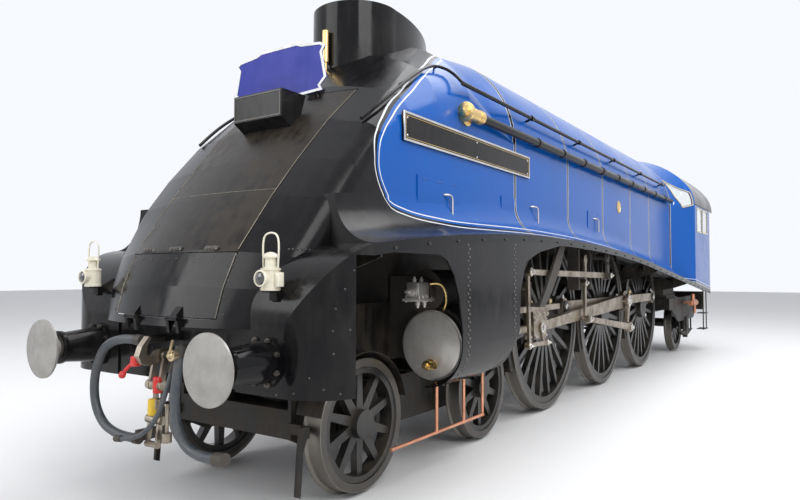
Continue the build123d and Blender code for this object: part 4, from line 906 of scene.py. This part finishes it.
def casingPieces():
    for side, label in sides:
        for k, (x, z) in enumerate(casing["panels"]):
            finished(sidePlate("casing_panel_%d_%s" % (k + 1, label), x, z, side), "livery", "gloss_blue")
        for k, line in enumerate(casing["handles"]):
            founds = [fromSide(x, z, side, *casing["skin"]) for x, z in line]
            start = founds[0][1] - founds[0][2] * 0.002
            top, bend, foot = (place + normal * 0.035 for _, place, normal in founds)
            bar = pipe("casing_handle_%d_%s" % (k + 1, label), [start, top, bend, bend * 0.5 + foot * 0.5, foot], 9)
            finished(bar, "brightSteel", "gloss_blue")
    (x0, _), (_, z1) = casing["panels"][0]
    spots = [fromSide(x0 + run + k * 30, z1 - 26, 1, *casing["skin"]) for run in casing["rivetRuns"] for k in range(4)]
    for (x0, x1), (z0, z1) in casing["panels"][1:]:
        spots += [fromSide(x, z, 1, "boiler_casing")
                  for x in (x0 + 25, (x0 + x1) / 2, x1 - 25) for z in (z0 + 25, z1 - 25)]
    lifted = [(name, place + normal * (casing["thick"] / 1000), normal) for name, place, normal in filter(None, spots)]
    repeat("casing_rivets", rivetHead("rivet", casing["rivet"]), bothSides(lifted), "wornBlue", "gloss_blue")
    for side, label in sides:
        _, place, normal = fromSide(*casing["oval"], side, "boiler_casing")
        disc = turned("oval_plate_" + label, place - normal * 0.003, normal, casing["ovalPlate"], 40)
        finished(disc, "brass", "gloss_blue")


ejector = {
    "x": -1300, "y": 1095, "z": 2964, "foot": ((0, 100), (16, 100), (20, 94), (22, 60), (80, 52)),
    "barrel": ((-30, 46), (-28, 62), (30, 64), (34, 56), (200, 62), (235, 66), (240, 85), (262, 85), (266, 50),
               (290, 45), (300, 20)),
    "bolt": ((0, 11), (26, 11), (28, 6)), "boltCircle": 78, "clips": (-1900, -9100, -740),
    "clip": ((-22, 44), (-22, 50), (22, 50), (22, 44)),
}


def ejectorFitting():
    x, y, z = (ejector[k] for k in ("x", "y", "z"))
    _, place, normal = fromSide(x + 150, z, 1, *casing["skin"])
    parts = [turned("barrel", at(x, y, z), front, ejector["barrel"], 28),
             turned("foot", place - normal * 0.004, normal, ejector["foot"], 28)]
    for k in range(6):
        step = mm(cos(k * pi / 3) * ejector["boltCircle"], 0, sin(k * pi / 3) * ejector["boltCircle"])
        parts.append(turned("bolt", place + step, (0, 1, 0), ejector["bolt"], 6))
    together("ejector_fitting", parts, "brass", "brass")
    parts = []
    for x in range(*ejector["clips"]):
        found = fromSide(x, z, 1, "boiler_casing", "cab_front", "cab_side_left")
        if found:
            parts.append(turned("clip", at(x, y, z), front, ejector["clip"]))
            parts.append(pipe("stay", [found[1] - found[2] * 0.004, at(x, y, z)], 12, True))
    together("ejector_clips", parts, "frameBlack", "gloss_black")


# The handrail goes on from the casing's front down the black of the nose
def noseRail():
    founds = [fromPixel(u, v, *casing["skin"]) for u, v in casing["railPixels"]]
    points = [found[1] + found[2] * 0.045 for found in founds if found]
    points[0] = at(*casing["railStart"])
    points[-1] = points[-1] * 0.5 + (fromPixel(*casing["railPixels"][-1], "nose_casing")[1]) * 0.5
    for side, label in sides:
        line = [place if side > 0 else place * mirror for place in points]
        parts = [pipe("rail", line, 14)]
        for k in casing["posts"]:
            inwards = Vector((0, -side, -0.25)).normalized()
            found = meet(line[k], inwards, casing["skin"], casing["postReach"])
            if found:
                parts.append(pipe("post", [found[1] - found[2] * 0.003, line[k]], 9, True))
        together("nose_handrail_" + label, parts, "glossBlack", "gloss_black")


# Painted shadow: a dark line under the hatch, where its lower edge shades the casing
def hatchShade():
    (x0, x1), (z0, _) = casing["panels"][0]
    for side, label in sides:
        line = [fromSide(x0 + (x1 - x0) * k / 12, z0 - 5, side, *casing["skin"]) for k in range(13)]
        finished(seam("hatch_shadow_line_" + label, line, 6, -1), "frameBlack", "gloss_blue")


casingPieces()
ejectorFitting()
noseRail()
hatchShade()

print("stage: cylinders and motion")
cylinder = {
    "y": 1029, "z": 1016, "front": -612, "guideY": 985,
    "cover": ((0, 277), (10, 277), (14, 268), (22, 262), (34, 210), (44, 130), (50, 50)),
    "seat": ((0, 45), (20, 45), (24, 34), (50, 32), (52, 40), (75, 40), (78, 26), (110, 22), (112, 14)),
    "nozzle": ((0, 22), (60, 20), (62, 28), (85, 28), (87, 12)),
    "spindle": ((-10, 45), (10, 45), (12, 30), (50, 28), (52, 12), (90, 11)),
    "nut": ((-30, 11), (14, 11), (16, 6), (26, 6)), "cup": ((0, 16), (22, 16), (26, 10), (40, 8), (42, 4)),
    "drip": ((0, 18), (30, 18), (34, 12), (50, 10)),
    "pipe": ((-560, 1040, 1500), (-600, 1120, 1520), (-640, 1150, 1400), (-650, 1120, 1290), (-655, 1060, 1240)),
}


def cylinderPieces():
    for side, label in sides:
        y, z, guideY = side * cylinder["y"], cylinder["z"], side * cylinder["guideY"]
        cover = turned("cylinder_cover_" + label, at(cylinder["front"], y, z), front, cylinder["cover"], 56)
        finished(cover, "groundSteel", "boiler_iron")
        base = at(cylinder["front"] + 28, y + side * 10, z - 150)
        parts = [turned("seat", base, front, cylinder["seat"], 20),
                 turned("nozzle", base + mm(62, 0, 0), (0.2, side, 0.1), cylinder["nozzle"], 16)]
        together("relief_valve_" + label, parts, "brass", "brass")
        # Guide of the valve spindle, in front of the valve chest
        parts = [block("case", at(-470, guideY, 1440), (160, 110, 150), 8, 15, -6),
                 block("flange", at(-480, guideY, 1378), (240, 150, 22)),
                 turned("spindle", at(-390, guideY, 1440), front, cylinder["spindle"], 20)]
        parts += [turned("nut", at(-480 + dx, guideY + dy, 1390), up, cylinder["nut"], 6)
                  for dx in (-90, -30, 30, 90) for dy in (-58, 58)]
        for x in (-520, -420):
            parts.append(turned("cup", at(x, guideY, 1515), up, cylinder["cup"], 12))
            parts.append(turned("drip", at(x, guideY + side * 30, 1366), (0, 0, -1), cylinder["drip"], 12))
        together("spindle_guide_" + label, parts, "groundSteel", "boiler_iron")
        line = [at(x, side * y, z) for x, y, z in cylinder["pipe"]]
        finished(pipe("guide_pipe_" + label, line, 11), "brass", "brass")


rods = {
    "throw": 330, "left": 149, "right": 29, "axles": (-3581, -5791, -8001), "axleZ": 1016, "face": 940, "cupY": 908,
    "cap": ((0, 70), (12, 70), (16, 62), (16, 40), (30, 38), (34, 30)),
    "cup": ((-20, 20), (16, 20), (20, 14), (34, 12), (36, 6)),
}


# Caps and oil cups on the first and last pin of each coupling rod
def rodPieces():
    for side, label in sides:
        angle, parts = radians(rods[label]), []
        for axle in rods["axles"][::2]:
            x, z = axle + rods["throw"] * cos(angle), rods["axleZ"] + rods["throw"] * sin(angle)
            parts += [turned("cap", at(x, side * (rods["face"] - 4), z), (0, side, 0), rods["cap"]),
                      turned("cup", at(x, side * rods["cupY"], z + 105), up, rods["cup"], 14)]
        together("coupling_rod_caps_" + label, parts, "brightSteel", "motion_steel", "coupling_rods_%s_body" % label)


# The outside motion's lengths and fixed places, as the CAD lays it out
motion = {
    "connectingRod": 3353, "returnThrow": 387, "returnLag": 135.8, "linkPivot": (-4100, 1474), "footRadius": 444,
    "eccentricRod": 1888, "leverTop": (-2200, 1600), "leverFoot": 870, "union": 530, "liftingPin": (-4640, 1565),
    "headBolts": ((-165, 1160), (-70, 1160), (70, 1160), (165, 1160), (-115, 930), (160, 930), (-115, 1105),
                  (160, 1105)),
    "headBolt": ((-3, 16), (12, 16), (14, 9), (22, 8)), "rodBolt": ((-3, 14), (11, 14), (13, 8), (20, 7)),
    # A pin's cap as distance and share of its radius, and the circle of the crankpin's bolts
    "cap": ((-4, 1), (8, 1), (12, 0.86), (12, 0.6), (26, 0.55), (30, 0.4)), "pin": ((26, 0.3), (36, 0.3), (39, 0.2)),
    "rodCircle": 108, "rodBolts": range(30, 390, 60),
    "cup": ((-10, 12), (12, 12), (14, 26), (50, 26), (56, 18), (66, 10), (70, 5)), "barY": 1029,
    "names": ("connecting_rods", "crossheads", "eccentric_rods", "expansion_links", "valve_levers", "motion_brackets"),
}


# Where two circles meet, on the left of the line between their centres
def circlesMeet(first, firstRadius, second, secondRadius):
    gap = Vector((second[0] - first[0], second[1] - first[1]))
    along = (firstRadius ** 2 - secondRadius ** 2 + gap.length ** 2) / (2 * gap.length)
    off = sqrt(firstRadius ** 2 - along ** 2)
    gap.normalize()
    return first[0] + along * gap.x - off * gap.y, first[1] + along * gap.y + off * gap.x


# Every pin of one side with the radius of its cap, and the crank's and the crosshead's places
def motionPins(label):
    angle, throw = radians(rods[label]), rods["throw"]
    crank = (rods["axles"][1] + throw * cos(angle), rods["axleZ"] + throw * sin(angle))
    head = (crank[0] + sqrt(motion["connectingRod"] ** 2 - (crank[1] - rods["axleZ"]) ** 2), rods["axleZ"])
    angle += radians(motion["returnLag"])
    rear = (crank[0] + motion["returnThrow"] * cos(angle), crank[1] + motion["returnThrow"] * sin(angle))
    foot = circlesMeet(motion["linkPivot"], motion["footRadius"], rear, motion["eccentricRod"])
    arm = head[0] - 35
    pins = [(head, 52), (crank, 82), (rear, 50), (foot, 36), (motion["linkPivot"], 40), (motion["leverTop"], 30),
            ((arm, motion["leverFoot"] - 10), 26), ((arm + motion["union"], motion["leverFoot"]), 26),
            (motion["liftingPin"], 34)]
    return pins, crank, head


def motionPieces():
    for side, label in sides:
        pins, crank, head = motionPins(label)
        caps, cups = [], []
        for (x, z), radius in pins:
            found = fromSide(x, z, side, *motion["names"])
            if found:
                for name, rounds in (("cap", 18), ("pin", 6)):
                    stations = [(along, radius * share) for along, share in motion[name]]
                    caps.append(turned(name, found[1], (0, side, 0), stations, rounds))
        bolts = [(head[0] + x, z, "crossheads", motion["headBolt"]) for x, z in motion["headBolts"]]
        for turn in motion["rodBolts"]:
            spin, circle = radians(rods[label] + turn), motion["rodCircle"]
            x, z = crank[0] + circle * cos(spin), crank[1] + circle * sin(spin)
            bolts.append((x, z, "connecting_rods", motion["rodBolt"]))
        for x, z, name, stations in bolts:
            found = fromSide(x, z, side, name)
            if found:
                caps.append(turned("bolt", found[1], (0, side, 0), stations, 6))
        together("motion_caps_" + label, caps, "brightSteel", "motion_steel")
        spots = [(crank[0], 1120, "connecting_rods"), (head[0] + 40, 1000, "connecting_rods")]
        spots += [(x, motion["barY"], "slide_bars") for x in (head[0] - 150, head[0] + 150, -1720, -3120)]
        for x, y, name in spots:
            found = fromTop(x, side * y, name)
            if found:
                cups.append(turned("cup", found[1], up, motion["cup"], 14))
        together("motion_oil_cups_" + label, cups, "oldBrass", "brass")


cylinderPieces()
rodPieces()
motionPieces()

print("stage: buffers and coupling")
buffer = {"y": 870, "z": 1054, "head": 1352, "rings": ((14, 82, 22), (60, 80, 12)), "boltCircle": 140,
          "bolt": ((-4, 17), (14, 17), (16, 10), (26, 10), (27, 5))}


def bufferPieces():
    for side, label in sides:
        y, z, circle, parts = side * buffer["y"], buffer["z"], buffer["boltCircle"], []
        for behind, radius, wide in buffer["rings"]:
            stations = ((0, radius - 12), (1, radius), (wide, radius), (wide + 1, radius - 12))
            parts.append(turned("ring", at(buffer["head"] - behind, y, z), front, stations, 36))
        for k in range(8):
            angle = k * pi / 4 + pi / 8
            found = fromFront(y + cos(angle) * circle, z + sin(angle) * circle, "buffer_stocks")
            if found and found[2].x > 0.7:
                parts.append(turned("bolt", found[1], found[2], buffer["bolt"], 6))
        together("buffer_rings_" + label, parts, "wornBlack", "gloss_black")


coupling = {
    "pixels": ((137, 362), (155, 386), (150, 408)), "knob": ((0, 12), (10, 22), (35, 22), (45, 12)),
    "redSleeve": ((0, 26), (6, 31), (100, 31), (106, 26)), "yellowSleeve": ((0, 26), (6, 32), (100, 32), (106, 26)),
    "valvePlace": (1180, 252, 1066), "valve": ((0, 30), (45, 28), (48, 37), (62, 37), (66, 22), (85, 12)),
}


def couplingPieces():
    lever, red, yellow = (fromPixel(u, v, "hook_and_coupling") for u, v in coupling["pixels"])
    base = lever[1] + mm(-10, -30, 0)
    red, yellow = (place - normal * 0.02 - mm(0, 0, 50) for _, place, normal in (red, yellow))
    parts = [block("redCase", base, (50, 50, 60), 8, 8, 6),
             pipe("redLever", [base, base + mm(20, -50, -30), base + mm(30, -90, -80)], 12),
             turned("redEnd", base + mm(30, -85, -70), (0, -0.5, -0.8), coupling["knob"], 14),
             turned("redSleeve", red, up, coupling["redSleeve"], 18)]
    together("coupling_red_lever", parts, "redPaint", "motion_steel")
    finished(turned("coupling_yellow_sleeve", yellow, up, coupling["yellowSleeve"], 18), "yellowPaint", "motion_steel")
    base = at(*coupling["valvePlace"])
    parts = [turned("valve", base, front, coupling["valve"], 18),
             pipe("lever", [base + mm(75, 0, 0), base + mm(85, 30, 45), base + mm(80, 45, 100)], 9)]
    together("hose_valve", parts, "oldBrass", "brass")


bufferPieces()
couplingPieces()

print("stage: cab")
# Strip that covers the joint between the boiler casing and the cab's sloping front
joint = {"front": -9293, "back": -9412, "low": 1510, "high": 3150, "steps": 20, "lift": 2, "thick": 3}


def casingJoint():
    low, high, steps = joint["low"], joint["high"], joint["steps"]
    for side, label in sides:
        places = []
        for x, name in ((joint["front"], "boiler_casing"), (joint["back"], "cab_front")):
            for k in range(steps + 1):
                found = fromSide(x, low + (high - low) * k / steps, side, name) or found
                places.append(found[1] + found[2] * (joint["lift"] / 1000))
        deselect()
        bpy.ops.mesh.primitive_grid_add(x_subdivisions=steps, y_subdivisions=1, size=2)
        strip = started("casing_joint_" + label)
        ordered = sorted(strip.data.vertices, key=lambda vertex: (round(vertex.co.y), vertex.co.x))
        for vertex, place in zip(ordered, places):
            vertex.co = place
        wall = strip.modifiers.new("wall", "SOLIDIFY")
        wall.thickness, wall.offset = joint["thick"] / 1000, 0
        applied(strip, wall)
        editAll()
        closeEdit()
        finished(strip, "livery", "gloss_blue")
        frontWindow(side, label)


cab = {
    "front": ((-9345, 3398), (-9915, 3202), (-9915, 2945), (-9632, 2882)), "frontSteps": 8,
    "windows": (((-10690, -10190), (2450, 2900)), ((-11320, -10820), (2450, 2900))),
    "gutter": (-11560, -10040, 100), "gutterZ": 2975,
    "rail": (-11700, 1345), "railHeights": (1480, 1500, 2000, 2880, 2900),
}


def frontWindow(side, label):
    outline, steps, loop = cab["front"], cab["frontSteps"], []
    for (x0, z0), (x1, z1) in zip(outline, outline[1:] + outline[:1]):
        for k in range(steps):
            loop.append(fromSide(x0 + (x1 - x0) * k / steps, z0 + (z1 - z0) * k / steps, side, "cab_front"))
    loop = [found for found in loop if found]
    finished(seam("front_window_frame_" + label, loop + loop[:1], 11, 3), "windowWood", "floor_wood")


def cabWindows():
    for side, label in sides:
        for k, (x, z) in enumerate(cab["windows"]):
            outline = [fromSide(*corner, side, "cab_side_" + label)[1] for corner in corners(x, z, 22)]
            frame = border("window_frame_%d_%s" % (k + 1, label), outline, (0, side, 0), 30, 6)
            finished(frame, "windowWood", "floor_wood")
        line = [fromSide(x, cab["gutterZ"], side, "cab_roof") for x in range(*cab["gutter"])]
        finished(seam("window_gutter_" + label, line, 9, 2), "glossBlack", "gloss_black")
        x, y = cab["rail"]
        rail = [at(x, side * y, z) for z in cab["railHeights"]]
        rail[0] += mm(30, 0, 0)
        rail[-1] += mm(30, 0, 0)
        finished(pipe("cab_handrail_" + label, rail, 14), "brightSteel", "motion_steel")


backhead = {
    "dials": ((-420, 2880, 80), (-160, 2930, 95), (140, 2930, 95), (400, 2880, 80)), "dialTop": 2820,
    "pipes": (-560, -480, 470, 540, 610), "wheel": (0.045, 0.008),
    # Each dial's case and face as distance and share of its radius
    "case": ((0, 1 / 1.1), (30, 1), (50, 1), (55, 1 / 1.05), (55, 1 / 1.2)),
    "face": ((0, 1 / 1.21), (2, 1 / 1.21), (2.5, 1 / 1.4)),
    "glassSeat": ((0, 32), (20, 32), (24, 20), (90, 20), (92, 28), (130, 28)),
    "doorRing": ((0, 270), (30, 270), (36, 260), (36, 220), (50, 210), (70, 120), (75, 30)),
    "regulator": ((0, 90), (30, 90), (35, 60), (100, 50), (102, 30), (160, 30)),
}


def backheadPieces():
    def seatAt(y, z):
        found = meet(at(-12500, y, z), Vector((1, 0, 0)), ("backhead",))
        return found and found[1]

    brass, copper, steel, faces = [], [], [], []
    for y, z, radius in backhead["dials"]:
        place = at(0, y, z)
        place.x = seatAt(y, min(z, backhead["dialTop"])).x
        case, face = ([(along, radius * share) for along, share in backhead[k]] for k in ("case", "face"))
        brass.append(turned("dialCase", place, back, case, 28))
        faces.append(turned("dialFace", place + back * 0.051, back, face, 28))
        hand = [place + back * 0.057, place + back * 0.057 + mm(0, radius / 1.8, radius / 1.7)]
        steel.append(pipe("hand", hand, 3, True))
    for y in (-300, 300):
        base = seatAt(y, 2500)
        brass += [turned("glassSeat", base + mm(0, 0, rise), back, backhead["glassSeat"], 16) for rise in (-170, 170)]
        steel.append(pipe("gaugeGlass", [base + mm(-110, 0, -170), base + mm(-110, 0, 170)], 12, True))
    base = seatAt(0, 1960)
    steel += [turned("doorRing", base, back, backhead["doorRing"], 40),
              block("doorStrap", base + back * 0.07, (20, 620, 50), 5),
              pipe("doorHandle", [base + mm(-60, -280, 0), base + mm(-160, -300, 0), base + mm(-170, -340, 140)], 13)]
    base = seatAt(0, 2700)
    steel += [turned("regulatorSeat", base, back, backhead["regulator"]),
              pipe("regulatorBar", [base + mm(-130, y, 0) for y in (-620, -300, 300, 620)], 16)]
    for y in (-620, 620):
        handle = [base + mm(-130, y, 0), base + mm(-200, y, -100), base + mm(-240, y, -300)]
        steel.append(pipe("regulatorHandle", handle, 15))
    for y in backhead["pipes"]:
        low, high = seatAt(y, 1750), seatAt(y * 0.8, 2480)
        if low and high:
            line = [low + back * 0.04, low + mm(-50, 0, 200), high + mm(-60, 0, -200), high + back * 0.04]
            copper.append(pipe("copperPipe", line, 13))
            hub = high + back * 0.1
            large, small = backhead["wheel"]
            bpy.ops.mesh.primitive_torus_add(location=hub, rotation=(0, pi / 2, 0), major_segments=20,
                                             minor_segments=8, major_radius=large, minor_radius=small)
            steel += [started("valveWheel"), pipe("valveStem", [high, hub], 12, True),
                      pipe("valveSpoke", [hub + mm(0, 45, 0), hub - mm(0, 45, 0)], 6, True)]
    together("backhead_brass", brass, "brass", "brass")
    together("backhead_dials", faces, "whitePaint", "cream")
    together("backhead_steel", steel, "brightSteel", "motion_steel")
    together("backhead_pipes", copper, "copper", "copper")


smokebox = {
    "place": (-387, 0, 2330), "dish": ((0, 500), (12, 490), (30, 360), (40, 160), (42, 60)),
    "dart": ((0, 50), (20, 50), (22, 30), (100, 28), (104, 20)), "dogCircle": 0.535,
}


def smokeboxPieces():
    base = at(*smokebox["place"])
    handle = [base + mm(90, 0, 0), base + mm(100, 100, -130), base + mm(100, 120, -240)]
    parts = [turned("dish", base, front, smokebox["dish"], 48),
             turned("dart", base + mm(30, 0, 0), front, smokebox["dart"], 20), pipe("dartHandle", handle, 13)]
    parts += [block("strap", base + mm(35, -140, z), (20, 720, 60), 6) for z in (-200, 200)]
    for k in range(12):
        angle, circle = k * pi / 6, smokebox["dogCircle"]
        place = base + Vector((0.012, cos(angle) * circle, sin(angle) * circle))
        parts.append(block("dog", place, (34, 45, 45), 6, turn=(angle, 0, 0)))
    together("smokebox_door_fittings", parts, "castIron", "boiler_iron")


casingJoint()
cabWindows()
backheadPieces()
smokeboxPieces()

print("stage: studio")
studio = {
    "floor": 0.86, "floorSize": 120, "sky": 0.55, "skyColour": (0.93, 0.95, 1.0, 1),
    # Each lamp's name, place, target, size and power
    "lamps": (("keyLamp", (11, 12, 12), (0, 0, 2), 9, 1500), ("fillLamp", (16, -7, 8), (2, 0, 2), 8, 700),
              ("roofLamp", (-2, 3, 13), (-2, 0, 2), 12, 1500)),
}


def makeStudio():
    deselect()
    bpy.ops.mesh.primitive_plane_add(size=studio["floorSize"], location=(0, 0, -0.001))
    floor = bpy.context.object
    floor.name = "studioFloor"
    material, w, shader = newMaterial("floorPaint", Roughness=0.6, Specular_IOR_Level=0.2)
    shader.inputs["Base Color"].default_value = (studio["floor"],) * 3 + (1,)
    floor.data.materials.append(material)
    world = bpy.data.worlds.new("studioSky")
    world.use_nodes = True
    scene.world = world
    w = Wires(world.node_tree)
    sky = world.node_tree.nodes["Background"]
    sky.inputs["Color"].default_value = studio["skyColour"]
    path = w.add("ShaderNodeLightPath")
    seen = w.math("MAXIMUM", path.outputs["Is Camera Ray"], path.outputs["Is Transmission Ray"])
    seen = w.math("MAXIMUM", seen, path.outputs["Is Glossy Ray"])
    w.join(w.span(seen, 0, 1, studio["sky"], 1.0), sky.inputs["Strength"])
    for name, place, target, size, power in studio["lamps"]:
        data = bpy.data.lights.new(name, "AREA")
        data.size, data.energy = size, power
        light = bpy.data.objects.new(name, data)
        scene.collection.objects.link(light)
        light.location = place
        light.rotation_mode = "QUATERNION"
        light.rotation_quaternion = (Vector(target) - Vector(place)).to_track_quat("-Z", "Y")


makeStudio()
